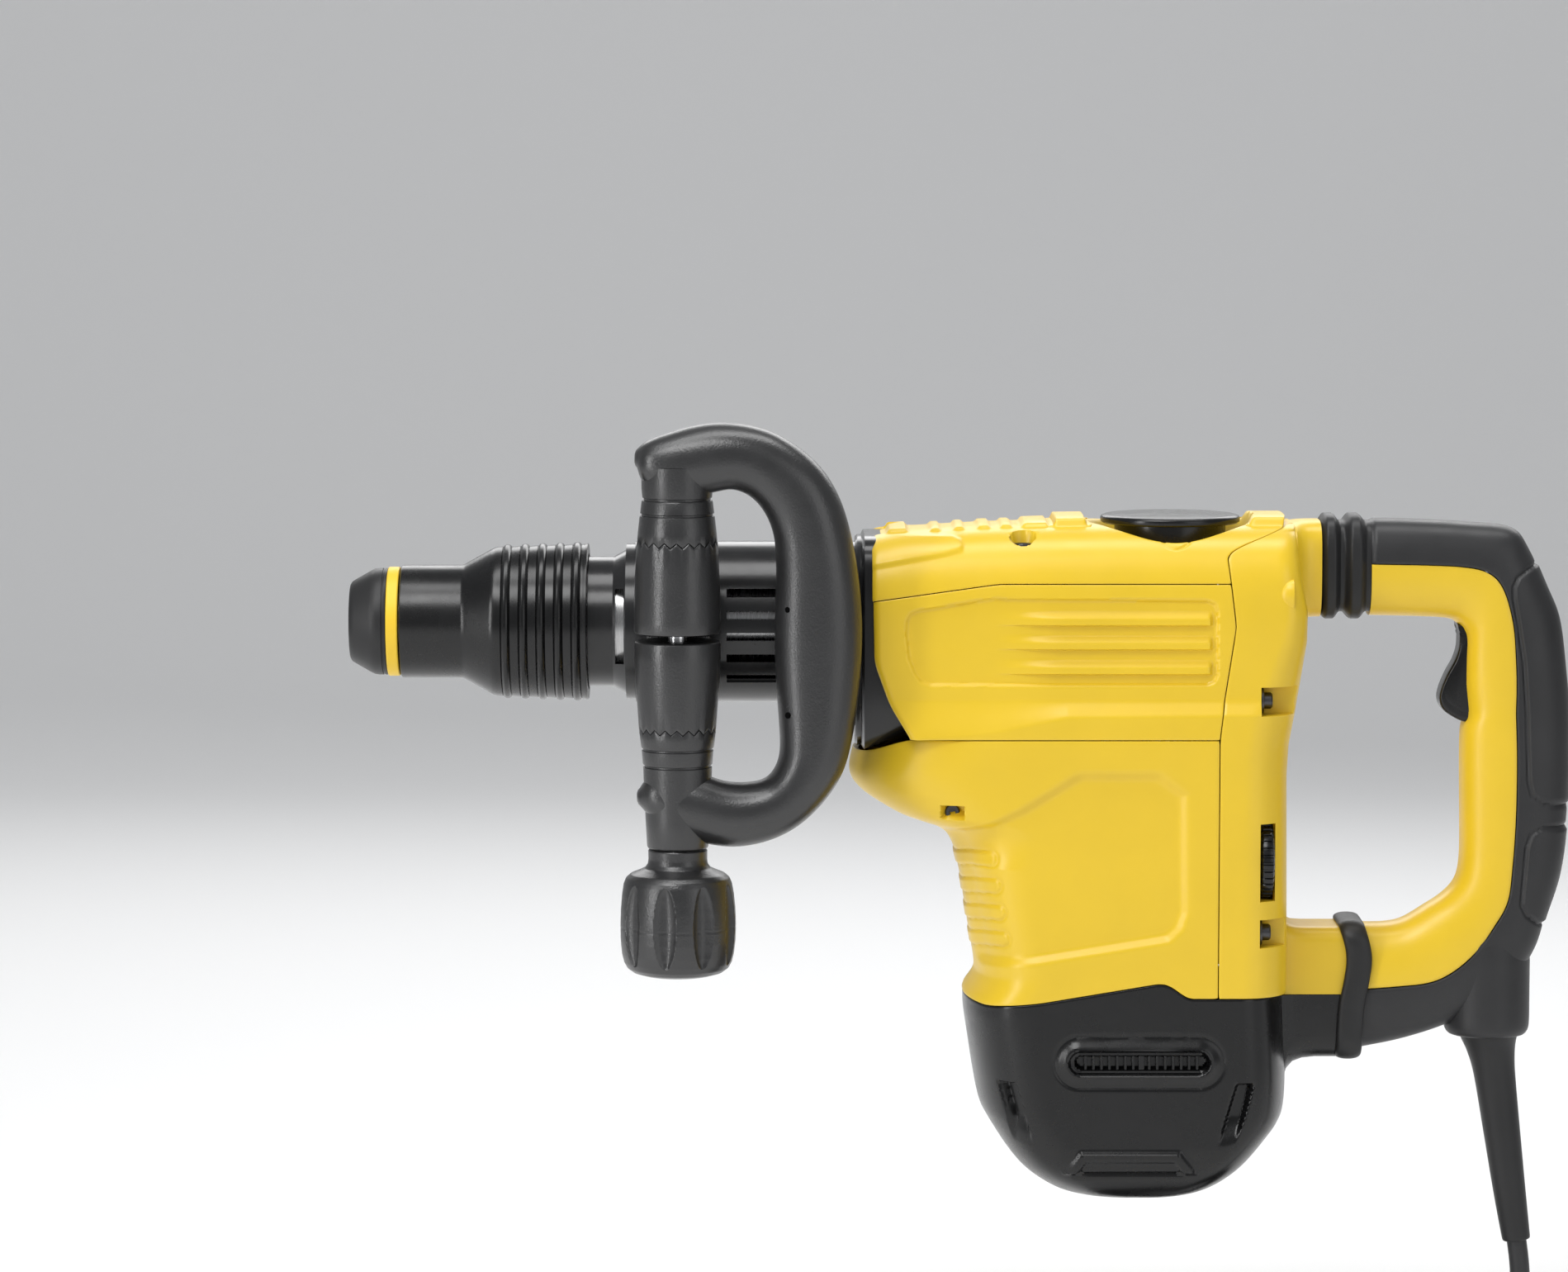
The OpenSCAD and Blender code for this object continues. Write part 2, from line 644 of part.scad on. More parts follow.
module lead_coil() color("black") translate([coil_x, coil_y, lead_floor]) rotate_extrude()
    translate([coil_mid_r - coil_half, 0]) square([2 * coil_half, coil_top - lead_floor]);

module plug_body() color("black") translate(plug_end) rotate([0, -90, 0]) rotate_extrude()
    polygon([[0, 0], [6.5, 0], [8, 10], [plug_r - 0.5, 22], [plug_r, 26], [plug_r, 44], [0, 44]]);

module plug_pins() color("silver") translate(plug_end + [-62, 0, 0]) {
    for (side = [-1, 1]) block([0, side * 6.35 - 0.75, 0], [18, side * 6.35 + 0.75, 6.3]);
    x_bar(2.4, -3, 18, [0, -7.5]);
}

barrel_housing();
neck_flange();
cylinder_liner();
gear_case();
top_cover();
left_side_cover();
right_side_cover();
motor_housing();
rear_cover();
motor_end_cap();
top_cap();
stator_core();
field_coils();
drive_bearings();
brush_bridge();
carbon_brushes();
fan_baffle();
control_board();
rear_cover_screws();
handle_bracket();
pivot_pin();
lower_strap();
handle_spring();
upper_bellows();
tool_spindle();
nose_cap();
retaining_ring();
index_ring();
lock_roller_upper();
lock_roller_lower();
lock_sleeve();
sleeve_spring();
clamp_upper();
clamp_lower();
clamp_band();
clamp_bolt();
side_handle_loop();
clamp_knob();
handle_left_half();
handle_right_half();
grip_overmould();
cord_gland();
switch_body();
cord_boot();
power_lead();
lead_coil();
plug_body();
plug_pins();
trigger();
speed_dial();
rotor_shaft();
armature_core();
commutator();
cooling_fan();
crank_gear();
piston();
connecting_rod();
striker();
beat_piece();
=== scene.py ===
"""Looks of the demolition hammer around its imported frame. Shapes are worked out in millimetres."""

import itertools
import math

import bmesh
import bpy
import numpy as np
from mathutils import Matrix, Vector


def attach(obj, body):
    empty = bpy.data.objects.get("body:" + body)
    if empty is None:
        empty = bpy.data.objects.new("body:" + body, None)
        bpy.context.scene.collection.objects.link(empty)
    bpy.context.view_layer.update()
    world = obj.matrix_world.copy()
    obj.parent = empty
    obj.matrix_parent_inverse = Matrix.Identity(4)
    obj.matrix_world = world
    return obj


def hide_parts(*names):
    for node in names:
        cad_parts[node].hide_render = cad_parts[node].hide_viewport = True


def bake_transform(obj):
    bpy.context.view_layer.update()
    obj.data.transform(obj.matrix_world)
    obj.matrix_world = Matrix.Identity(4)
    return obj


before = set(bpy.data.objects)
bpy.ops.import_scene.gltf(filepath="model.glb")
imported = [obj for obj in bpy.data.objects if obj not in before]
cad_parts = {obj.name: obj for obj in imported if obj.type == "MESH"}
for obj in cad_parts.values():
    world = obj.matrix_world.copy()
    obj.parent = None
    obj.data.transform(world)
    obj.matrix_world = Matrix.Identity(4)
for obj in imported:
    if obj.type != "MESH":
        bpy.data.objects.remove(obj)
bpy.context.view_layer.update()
scene = bpy.context.scene
MM = 0.001


# ---- camera, lights and floor ----

FLOOR_Z = -380.0
LIT_POINT = (0.26, 0, -0.08)  # what all lights face, in metres


def added(name, data, place=(0, 0, 0), at=None):
    """New object in the scene, turned to face a point when one is given."""
    obj = bpy.data.objects.new(name, data)
    scene.collection.objects.link(obj)
    obj.location = place
    if at:
        obj.rotation_euler = (Vector(at) - obj.location).to_track_quat("-Z", "Y").to_euler()
    return obj


def new_material(name):
    material = bpy.data.materials.new(name)
    material.use_nodes = True
    return material, material.node_tree, material.node_tree.nodes["Principled BSDF"]


def dress(tree, node, values, links=None):
    """Set a node's own values and link its other inputs."""
    for name, value in values.items():
        node.inputs[name].default_value = value
    for name, source in (links or {}).items():
        tree.links.new(source, node.inputs[name])
    return node


def make_camera():
    data = bpy.data.cameras.new("camera")
    data.lens, data.sensor_width = 130, 36
    scene.camera = added("camera", data, (0.2014, -2.6210, 0.2454), (0.2014, 0, -0.0069))


def make_light(name, place, size, power):
    lamp = bpy.data.lights.new(name, "AREA")
    lamp.shape = "RECTANGLE"
    lamp.size, lamp.size_y = size
    lamp.energy = power
    added(name, lamp, place, LIT_POINT)


def make_world():
    world = bpy.data.worlds.new("studio")
    world.use_nodes = True
    tree = world.node_tree
    dress(tree, tree.nodes["Background"], {"Color": (0.95, 0.97, 1.0, 1), "Strength": 0.29})
    scene.world = world
    scene.view_settings.view_transform = "Standard"


def make_stage(floor_z):
    """Pale floor that curves up into a back wall far behind the object."""
    front, radius, depth, half_width, height = -6.0, 1.6, 2.4, 9.0, 6.0
    profile = [(front, floor_z)]
    for i in range(25):
        a = math.radians(90 * i / 24)
        profile.append((depth + radius * math.sin(a), floor_z + radius * (1 - math.cos(a))))
    profile.append((depth + radius, height))
    mesh = bpy.data.meshes.new("floor")
    mesh.from_pydata([(x, y, z) for y, z in profile for x in (-half_width, half_width)], [],
                     [(k, k + 1, k + 3, k + 2) for k in range(0, 2 * len(profile) - 2, 2)])
    mesh.shade_smooth()
    material, tree, shader = new_material("floor_paper")
    dress(tree, shader, {"Base Color": (0.9, 0.9, 0.9, 1), "Roughness": 0.7})
    mesh.materials.append(material)
    added("floor", mesh)


make_camera()
make_stage(FLOOR_Z * MM)
make_light("key", (-0.5, -1.6, 2.0), (1.5, 0.9), 32)
make_light("fill", (1.7, -1.7, 0.5), (1.2, 1.6), 6.5)
make_light("front", (-1.6, -1.45, 0.3), (0.3, 1.9), 20)
make_light("top", (0.3, -0.1, 1.9), (2.2, 0.7), 25)
make_light("rim", (0.5, 1.9, 1.0), (2.4, 0.8), 18)
make_world()


# ---- materials ----

def object_place(tree):
    return tree.nodes.new("ShaderNodeTexCoord").outputs["Object"]


def new_node(tree, kind, values, links):
    return dress(tree, tree.nodes.new("ShaderNode" + kind), values, links)


def noise(tree, place, scale, detail, rough=0.55, stretch=None):
    """Value of a noise with features about 1/scale metres apart."""
    if stretch:
        place = new_node(tree, "Mapping", {"Scale": stretch}, {"Vector": place}).outputs["Vector"]
    return new_node(tree, "TexNoise", {"Scale": scale, "Detail": detail, "Roughness": rough},
                    {"Vector": place}).outputs["Fac"]


def mix_colours(tree, value, low, high):
    ramp = new_node(tree, "ValToRGB", {}, {"Fac": value})
    for element, place, colour in zip(ramp.color_ramp.elements, (0.3, 0.7), (low, high)):
        element.position = place
        element.color = (*colour, 1)
    return ramp.outputs["Color"]


def spread(tree, value, ends):
    limits = {"From Min": 0.3, "From Max": 0.7, "To Min": ends[0], "To Max": ends[1]}
    return new_node(tree, "MapRange", limits, {"Value": value}).outputs["Result"]


def bump(tree, shader, heights):
    """Bumps laid on each other, each a value, its depth in metres and its strength."""
    links = {}
    for value, depth, strength in heights:
        links["Height"] = value
        last = new_node(tree, "Bump", {"Strength": strength, "Distance": depth}, links)
        links = {"Normal": last.outputs["Normal"]}
    dress(tree, shader, {}, links)


def plastic(name, colour, rough, grain, depth, vary, specular, coat=0.0):
    """Moulded plastic or rubber: eroded surface grain, soft colour clouds and rubbed patches."""
    material, tree, shader = new_material(name)
    place = object_place(tree)
    dark, light = (tuple(min(1, c * (1 + v)) for c in colour) for v in (-vary, vary))
    dress(tree, shader,
          {"Specular IOR Level": specular, "Coat Weight": coat, "Coat Roughness": 0.12},
          {"Base Color": mix_colours(tree, noise(tree, place, 22, 4), dark, light),
           "Roughness": spread(tree, noise(tree, place, 60, 5, 0.65), rough)})
    fine = noise(tree, place, grain, 2, 0.6)
    wavy = noise(tree, place, 90, 2, 0.5)
    bump(tree, shader, [(wavy, 0.0004, 0.02), (fine, depth, 0.5)])
    return material


def metal(name, colour, rough, stretch, depth=0.00004):
    """Machined metal with faint stains and fine tool marks along one direction."""
    material, tree, shader = new_material(name)
    place = object_place(tree)
    marks = noise(tree, place, 60, 4, 0.6, stretch)
    dark = tuple(c * 0.88 for c in colour)
    dress(tree, shader, {"Metallic": 1.0},
          {"Base Color": mix_colours(tree, noise(tree, place, 35, 4), dark, colour),
           "Roughness": spread(tree, marks, rough)})
    bump(tree, shader, [(marks, depth, 0.5)])
    return material


def windings(name, colour, pitch):
    """Enamelled wire wound in rows a pitch apart, in metres, with painted shade in the grooves
    between the rows.
    """
    material, tree, shader = new_material(name)
    wave = new_node(tree, "TexWave", {"Scale": 0.314 / pitch, "Distortion": 0.4},
                    {"Vector": object_place(tree)})
    wave.bands_direction = "Z"
    # painted shade: the colour darkens to about a third in the grooves between the wire rows
    dark = tuple(c * 0.35 for c in colour)
    dress(tree, shader, {"Metallic": 0.75, "Roughness": 0.32},
          {"Base Color": mix_colours(tree, wave.outputs["Fac"], dark, colour)})
    bump(tree, shader, [(wave.outputs["Fac"], 0.0003, 0.7)])
    return material


YELLOW = plastic("yellow_plastic", (0.75, 0.505, 0.02), (0.3, 0.4), 1900, 0.00005, 0.03, 0.55)
BLACK = plastic("black_plastic", (0.003, 0.003, 0.0032), (0.22, 0.31), 1700, 0.00003, 0.12, 0.45)
GLOSS = plastic("gloss_black_paint", (0.009, 0.009, 0.0095), (0.2, 0.28), 700, 0.00003, 0.1, 0.45,
                coat=0.15)
RUBBER = plastic("black_rubber", (0.017, 0.017, 0.0175), (0.38, 0.48), 2400, 0.00009, 0.12, 0.35)
GRIP = plastic("soft_grip", (0.021, 0.021, 0.022), (0.38, 0.48), 1300, 0.00012, 0.14, 0.4)
LOOP = plastic("foamed_grip", (0.017, 0.017, 0.0175), (0.27, 0.36), 1000, 0.0002, 0.16, 0.75)
JACKET = plastic("cord_jacket", (0.024, 0.024, 0.025), (0.4, 0.5), 900, 0.00006, 0.12, 0.4)
BAND = plastic("yellow_rubber", (0.8, 0.53, 0.03), (0.4, 0.5), 1500, 0.00008, 0.05, 0.4)
CASE = metal("cast_case", (0.36, 0.36, 0.37), (0.42, 0.6), (1, 1, 1), 0.0001)
STEEL = metal("ground_steel", (0.5, 0.5, 0.5), (0.2, 0.34), (30, 1, 1))
BRIGHT = metal("bright_steel", (0.78, 0.78, 0.79), (0.12, 0.24), (1, 1, 25))
DARK = metal("black_steel", (0.09, 0.09, 0.095), (0.3, 0.45), (8, 8, 8))
LAMINATED = metal("laminated_steel", (0.42, 0.42, 0.43), (0.3, 0.5), (1, 1, 60), 0.0002)
COPPER = windings("copper_wire", (0.78, 0.3, 0.12), 0.0012)
COPPER_BAR = metal("commutator_copper", (0.8, 0.42, 0.22), (0.2, 0.32), (60, 60, 1))
# Near-black, almost unreflecting material: painted shade that stands in for the inside of holes
HOLE_SHADE = plastic("painted_hole_shade", (0.001, 0.001, 0.001), (0.7, 0.8), 900, 0.00002, 0.1, 0.05)
CARBON = plastic("carbon", (0.03, 0.03, 0.032), (0.45, 0.6), 3000, 0.0001, 0.2, 0.5)
BOARD = plastic("green_board", (0.02, 0.11, 0.05), (0.25, 0.4), 400, 0.00004, 0.2, 0.5)
# Slot name for a piece of each material; piece() looks it up and then leaves it unused
SLOTS = {YELLOW: "yellow_shell", BAND: "yellow_shell", BLACK: "black_shell", GLOSS: "gloss_black",
         RUBBER: "black_rubber", HOLE_SHADE: "black_rubber", GRIP: "overmould", LOOP: "grey_grip",
         STEEL: "ground_steel"}


def look(node, material):
    """Material for one of the frame's own parts."""
    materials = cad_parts[node].data.materials
    materials.clear()
    materials.append(material)


# ---- shapes ----

def array(points):
    return np.asarray(points, float)


def soft(value):
    """Smooth step from 0 to 1 while the value goes from 0 to 1."""
    t = np.clip(value, 0, 1)
    return t * t * (3 - 2 * t)


def circle(count):
    """Angles of a whole turn."""
    return np.linspace(0, 2 * np.pi, count, endpoint=False)


def unit(vectors):
    return vectors / np.maximum(np.linalg.norm(vectors, axis=-1, keepdims=True), 1e-9)


def spline(points, count):
    """Smooth line through the points."""
    p = array(points)
    ends = np.vstack([2 * p[0] - p[1], p, 2 * p[-1] - p[-2]])
    t = np.linspace(0, len(p) - 1, count)
    i = np.minimum(t.astype(int), len(p) - 2)
    f = (t - i)[:, None]
    a, b, c, d = ends[i], ends[i + 1], ends[i + 2], ends[i + 3]
    return 0.5 * (2 * b + (c - a) * f + (2 * a - 5 * b + 4 * c - d) * f**2
                  + (3 * b - a - 3 * c + d) * f**3)


def eased(line, times):
    """The line with each point but its ends drawn towards its neighbours."""
    for _ in range(times):
        line[1:-1] = line[1:-1] * 0.5 + (line[:-2] + line[2:]) * 0.25
    return line


def run_length(line):
    """Distance along a line from its start to each of its points."""
    return np.append(0, np.cumsum(np.linalg.norm(np.diff(line, axis=0), axis=1)))


def placed(points, shares):
    """Points of a line at shares of its length."""
    p = array(points)
    s = run_length(p)
    return np.stack([np.interp(array(shares) * s[-1], s, p[:, k]) for k in range(p.shape[1])], 1)


def even(points, count):
    """The same line with its points a steady distance apart."""
    return placed(points, np.linspace(0, 1, count))


def mirrored(left):
    """Points or lines up to the middle plane, with their mirror image after them."""
    return np.concatenate([left, left[-2::-1] * [1, -1, 1]])


def inside(outline, x, z):
    """Distance from each point to the outline, positive inside it."""
    p = array(outline)
    best = np.full(np.shape(x), 1e9)
    odd = np.zeros(np.shape(x), bool)
    for (ax, az), (bx, bz) in zip(p, np.roll(p, -1, axis=0)):
        ex, ez = bx - ax, bz - az
        t = np.clip(((x - ax) * ex + (z - az) * ez) / (ex * ex + ez * ez), 0, 1)
        best = np.minimum(best, np.hypot(x - ax - t * ex, z - az - t * ez))
        if az != bz:
            odd ^= ((az > z) != (bz > z)) & (x < ex * (z - az) / ez + ax)
    return np.where(odd, best, -best)


def quads(m, n, along=False, around=True):
    """Faces between m rings of n points."""
    i, k = np.meshgrid(np.arange(m if along else m - 1), np.arange(n if around else n - 1),
                       indexing="ij")
    i2, k2 = (i + 1) % m, (k + 1) % n
    return np.stack([i * n + k, i * n + k2, i2 * n + k2, i2 * n + k], -1).reshape(-1, 4)


class Shape:
    """Points and faces of one piece, gathered from its parts."""

    def __init__(self):
        self.points, self.faces, self.count = [], [], 0

    def add(self, points, faces):
        self.points.append(array(points).reshape(-1, 3))
        self.faces += [tuple(int(k) + self.count for k in f) for f in faces]
        self.count += len(self.points[-1])
        return self

    def loft(self, rings, caps=True, along=False):
        """Skin over rings of points, all with the same count."""
        g = array(rings)
        m, n = g.shape[:2]
        ends = [range(n), range((m - 1) * n, m * n)] if caps else []
        return self.add(g, quads(m, n, along).tolist() + ends)

    def hoop(self, rings):
        """Skin over rings of points, the last joined to the first."""
        return self.loft(rings, caps=False, along=True)

    def box(self, low, high):
        corners = list(itertools.product(*zip(low, high)))
        return self.add(corners, [(0, 1, 3, 2), (4, 6, 7, 5), (0, 4, 5, 1), (2, 3, 7, 6),
                                  (0, 2, 6, 4), (1, 5, 7, 3)])

    def turned(self, profile, at=(0, 0, 0), axis="x", sides=96, wobble=None):
        """Solid of revolution from points given as radius and place along its axis."""
        a = circle(sides)
        r, s = (np.repeat(column[:, None], sides, 1) for column in array(profile).T)
        if wobble:
            r, s = wobble(r, s, a[None, :])
        c, d = r * np.cos(a), r * np.sin(a)
        x, y, z = at
        return self.hoop(np.stack({"x": [s, y + c, z + d], "y": [x + c, s, z + d],
                                   "z": [x + c, y + d, s]}[axis], -1))


def piece(name, shape, material, body, nodes=(), slot=None, sharp=38, bevel=0.0):
    """Blender object from a shape, which rides on a body and stands for its CAD nodes."""
    mesh = bpy.data.meshes.new(name)
    mesh.from_pydata((np.vstack(shape.points) * MM).tolist(), [], shape.faces)
    work = bmesh.new()
    work.from_mesh(mesh)
    bmesh.ops.remove_doubles(work, verts=work.verts, dist=2e-6)
    bmesh.ops.recalc_face_normals(work, faces=work.faces)
    work.to_mesh(mesh)
    work.free()
    mesh.shade_smooth()
    mesh.set_sharp_from_angle(angle=math.radians(sharp))
    mesh.materials.append(material)
    obj = added(name, mesh)
    if bevel:
        edge = obj.modifiers.new("edge", "BEVEL")
        edge.width = bevel * MM
        edge.segments = 2
        edge.limit_method = "ANGLE"
        edge.angle_limit = math.radians(sharp)
    if body:
        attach(obj, body)
    if nodes:
        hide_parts(*nodes)
    for node in nodes:
        look(node, material)
    slot = slot or SLOTS.get(material)
    return obj


def grown(shift, steps=3):
    """Each shift spread to its neighbours, so that the inner skin stays behind the outer one."""
    out = shift.copy()
    for axis, by in ((0, 1), (0, -1), (1, 1), (1, -1)) * steps:
        other = np.roll(out, by, axis)
        edge = [slice(None)] * 3
        edge[axis] = 0 if by == 1 else -1
        other[tuple(edge)] = out[tuple(edge)]
        more = np.linalg.norm(other, axis=-1) > np.linalg.norm(out, axis=-1)
        out = np.where(more[..., None], other, out)
    return out


def outward(grid, middle):
    """Unit normals of a grid of points, turned away from the middle."""
    n = unit(np.cross(np.gradient(grid, axis=1), np.gradient(grid, axis=0)))
    return -n if np.sum(n * (grid - middle)) < 0 else n


def cover(grid, shift, middle, wall=2.8, loop=False):
    """Closed shell over a grid of points, its details pushed in by shift and its rim rounded."""
    m, n = grid.shape[:2]
    lip = 0.3
    normal = outward(grid, middle)
    outer, out_n = (grid + shift).reshape(-1, 3), normal.reshape(-1, 3)
    inner = grid + grown(shift) - normal * wall
    index = np.arange(m * n).reshape(m, n)
    if loop:
        rims = [(index[0], index[1]), (index[-1], index[-2])]
    else:
        rims = [[np.concatenate([index[k, :-1], index[:-1, -1 - k], index[-1 - k, :0:-1],
                                 index[:0:-1, k]]) for k in (0, 1)]]
    skin = quads(m, n, around=loop)
    faces = skin.tolist() + (skin[:, ::-1] + m * n).tolist()
    points = [outer, inner.reshape(-1, 3)]
    start = 2 * m * n
    for rim, next_in in rims:
        out = unit(outer[rim] - outer[next_in]) * lip
        points += [outer[rim] + out * 0.7 - out_n[rim] * lip * 0.3,
                   outer[rim] + out - out_n[rim] * lip]
        size = len(rim)
        rows = np.stack([rim, start + np.arange(size), start + size + np.arange(size), rim + m * n])
        after = np.roll(rows, -1, 1)
        rim_faces = np.stack([rows[:-1], after[:-1], after[1:], rows[1:]], -1)
        faces += rim_faces.transpose(1, 0, 2).reshape(-1, 4).tolist()
        start += 2 * size
    return Shape().add(np.vstack(points), faces)


def rounded(low, high, r, steps=8):
    """Closed outline of a rectangle with round corners."""
    out = []
    corners = [(high[0] - r, high[1] - r, 0), (low[0] + r, high[1] - r, 90),
               (low[0] + r, low[1] + r, 180), (high[0] - r, low[1] + r, 270)]
    for x, y, start in corners:
        for i in range(steps + 1):
            a = math.radians(start + 90 * i / steps)
            out.append((x + r * math.cos(a), y + r * math.sin(a)))
    return array(out)


def egg(half_a, half_b, power, count):
    """Closed superellipse."""
    c, s = np.cos(circle(count)), np.sin(circle(count))
    return np.stack([half_a * np.sign(c) * np.abs(c) ** (2 / power),
                     half_b * np.sign(s) * np.abs(s) ** (2 / power)], 1)


def in_x(outline, x):
    """An outline in Y and Z, placed at x."""
    return np.insert(array(outline), 0, x, axis=1)


def in_y(outline, y):
    """An outline in X and Z, placed at y."""
    return np.insert(array(outline), 1, y, axis=1)


# ---- the lead ----

LEAD_D = 9.3
LEAD_PITCH = 9.4
COIL_CENTRE = (410.0, 42.0)
COIL_OUT, COIL_IN = 68.6, 40.4
LEAD_ROUTE = [
    [545.5, 0, -291.5], [547, 0, -303], [547.4, 0, -315], [545.6, 0, -328], [540.6, 0, -341],
    [532, 0, -353.5], [520.5, 0, -363.5], [506.5, -0.4, -370.6], [491, -2, -374.6],
    [475, -6.2, -375.3], [459, -12.2, -375.3], [443, -18.6, -375.3], [427, -24.2, -375.3],
    [410, -26.6, -375.3]]
TAIL_ROUTE = [[434, -3, -347.1], [426, -5.8, -347], [418, -7.3, -346.3], [410, -7.8, -344],
              [402, -7.8, -340.8], [394, -7.8, -338.8]]


def coil_points():
    """Turns of the coil: inward, up, outward, up, inward, then a rise towards the plug."""
    out = []
    floor_z = FLOOR_Z + LEAD_D / 2
    last_turn = 10.9
    steps = int(last_turn * 60)
    for i in range(1, steps):
        t = last_turn * i / steps
        if t < 3:
            r, layer = COIL_OUT - LEAD_PITCH * t, 0
        elif t < 4:
            r, layer = COIL_IN - 3 * math.sin(math.pi * (t - 3)), t - 3
        elif t < 7:
            r, layer = COIL_IN + LEAD_PITCH * (t - 4), 1
        elif t < 8:
            r, layer = COIL_OUT + 2.4 * math.sin(math.pi * (t - 7)), 1 + (t - 7)
        elif t < 10:
            r, layer = COIL_OUT - LEAD_PITCH * (t - 8), 2
        else:
            part = (t - 10) / (last_turn - 10)
            r, layer = 49.8 - 3 * math.sin(math.pi * part) + 1.2 * part, 2 + 1.027 * part
        a = math.radians(-90 - 360 * t)
        out.append((COIL_CENTRE[0] + r * math.cos(a), COIL_CENTRE[1] + r * math.sin(a),
                    floor_z + LEAD_PITCH * (layer if t < 3 or t >= 4 else soft(layer))))
    return array(out)


def make_lead():
    line = np.vstack([spline(LEAD_ROUTE, 120)[:-1], coil_points(), spline(TAIL_ROUTE, 24)])
    line = eased(line, 6)
    length, spacing = float(run_length(line)[-1]), 3.5
    line = even(line, int(length / spacing))
    curve = bpy.data.curves.new("power_lead", "CURVE")
    curve.dimensions = "3D"
    curve.bevel_depth = LEAD_D / 2 * MM
    curve.bevel_resolution = 5
    curve.use_fill_caps = True
    run = curve.splines.new("POLY")
    run.points.add(len(line) - 1)
    run.points.foreach_set("co", np.column_stack([line * MM, np.ones(len(line))]).ravel())
    curve.materials.append(JACKET)
    lead = added("mains_lead", curve)
    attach(lead, "rear_handle")
    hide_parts("power_lead", "lead_coil")
    return lead, length * MM


lead, lead_length = make_lead()


def around(outline, count):
    """A closed outline with its points a steady distance apart."""
    return even(np.vstack([outline, outline[:1]]), count + 1)[:-1]


def band(path, normals, places, section):
    """Hoop of one section along a closed path in Y and Z, with its places along X."""
    return Shape().hoop([np.column_stack([x + section[:, 0], p + n * section[:, 1:]])
                         for p, n, x in zip(path, normals, places)])


def make_tie():
    """Strap of rubber round the bundle of turns, with a buckle on top."""
    low, high = (COIL_IN - 5.4, FLOOR_Z), (COIL_OUT + 5.4, FLOOR_Z + 3 * LEAD_PITCH + 1.6)
    line = around(rounded(low, high, 5), 90)
    out = unit(line - (array(low) + array(high)) / 2)
    x, y = COIL_CENTRE
    shape = band(line + [y, 0], out, [x] * len(line), egg(7, 0.9, 5, 24) - [0, 0.9])
    top = FLOOR_Z + 3 * LEAD_PITCH + 1.0
    shape.loft([[(x + a, y + 54 + b, top + z) for a, b in egg(h, w, 5, 32)]
                for z, h, w in ((0, 8, 5), (1.6, 8.4, 5.4), (2.6, 7.6, 4.6))])
    return piece("lead_tie", shape, RUBBER, "rear_handle")


def make_plug():
    """Generic moulded plug, lying on the coil with its pins towards the nose."""
    end = array(TAIL_ROUTE[-1])
    profile = [(0.0, 0), (5.4, 0), (5.9, 0.6), (6.1, 3), (6.5, 8), (7.4, 12), (10.4, 19),
               (12.2, 23), (12.9, 27), (12.95, 33), (12.9, 40), (12.6, 42.6), (11.6, 43.7),
               (9.5, 44), (0.0, 44)]
    a = circle(72)
    rings = []
    for r, s in even(profile, 120):
        ribs = 0.45 * np.cos(9 * a) * soft((s - 26) / 3) * soft((41 - s) / 3) - 0.45 * (25 < s < 42)
        groove = -0.5 * (3 < s < 18) * (s % 3.6 < 1.5)
        r = np.maximum(r + ribs + groove, 0.01)
        outline = np.stack([end[1] + r * np.cos(a), end[2] + r * np.sin(a)], 1)
        rings.append(in_x(outline, end[0] - s))
    return piece("mains_plug", Shape().loft(rings), RUBBER, "rear_handle", ["plug_body"])


tie = make_tie()
plug = make_plug()


# ---- yellow covers ----

AXIS_LINE = array([350.0, 0.0, -20.0])
MID_Z = -5.0
TOP_Z = 47.0
SIDE_TOP_Z = 21.3
HALF_TOP, HALF_LOW = 48.4, 52.0
CORNER = 3.6  # power of the superellipse that rounds the top
SEAM_GAP = 0.5
TOP_LINE = [(240, 40.5), (255, 43.5), (290, 45.6), (320, 46.6), (347, TOP_Z), (480, TOP_Z)]
SEAM_X, SIDE_LOW_Z = 400.6, -50  # seams behind and above the motor housing
REAR_SEAM = [(SEAM_X, -400), (SEAM_X, SIDE_LOW_Z), (402.8, -32), (408, 1.5), (405.6, 21.3),
             (404, 34), (409, 37.5), (421, 42), (434.6, TOP_Z)]
SIDE_SEAM = [(240, 13), (243, 13.4), (299.6, SIDE_TOP_Z), (450, SIDE_TOP_Z)]


def along(points, x, smooth, count=7):
    """Height of a line at x, with its corners eased."""
    p = array(points)
    shifts = np.linspace(-smooth, smooth, count)
    return np.mean([np.interp(x + d, p[:, 0], p[:, 1]) for d in shifts], 0)


def seam_x(z):
    return along(array(REAR_SEAM)[:, ::-1], z, 2, 5)


def half_width(x, z):
    """Half width of the hard housing at a place on its side."""
    step_z = -32.2  # the side leans out from here down to the step's lower edge
    low = np.interp(x, [262, 296, 331, 400], [-49.4, -46.7, -39.5, -38.8])
    step = np.clip((step_z - z) / (step_z - low), 0, 1)
    side = HALF_TOP + (HALF_LOW - HALF_TOP) * (0.7 * step + 0.3 * soft(step))
    rise = np.clip((z - MID_Z) / (along(TOP_LINE, x, 4) - MID_Z), 0, 1)
    return side * (1 - rise**CORNER) ** (1 / CORNER)


PANEL = [(256.5, -2), (256.8, 5), (258.7, 8.4), (262.5, 10), (295.6, 15.2), (395.4, 14.4),
         (398.8, 12.6), (400.2, 8.6), (400.3, -20.6), (398.8, -24), (395.2, -25.4), (268, -25.4),
         (263.6, -24), (260.6, -20.2), (257.8, -13)]
LOUVRES = [(9.0, 2.4), (-2.1, -8.6), (-13.4, -20.0)]


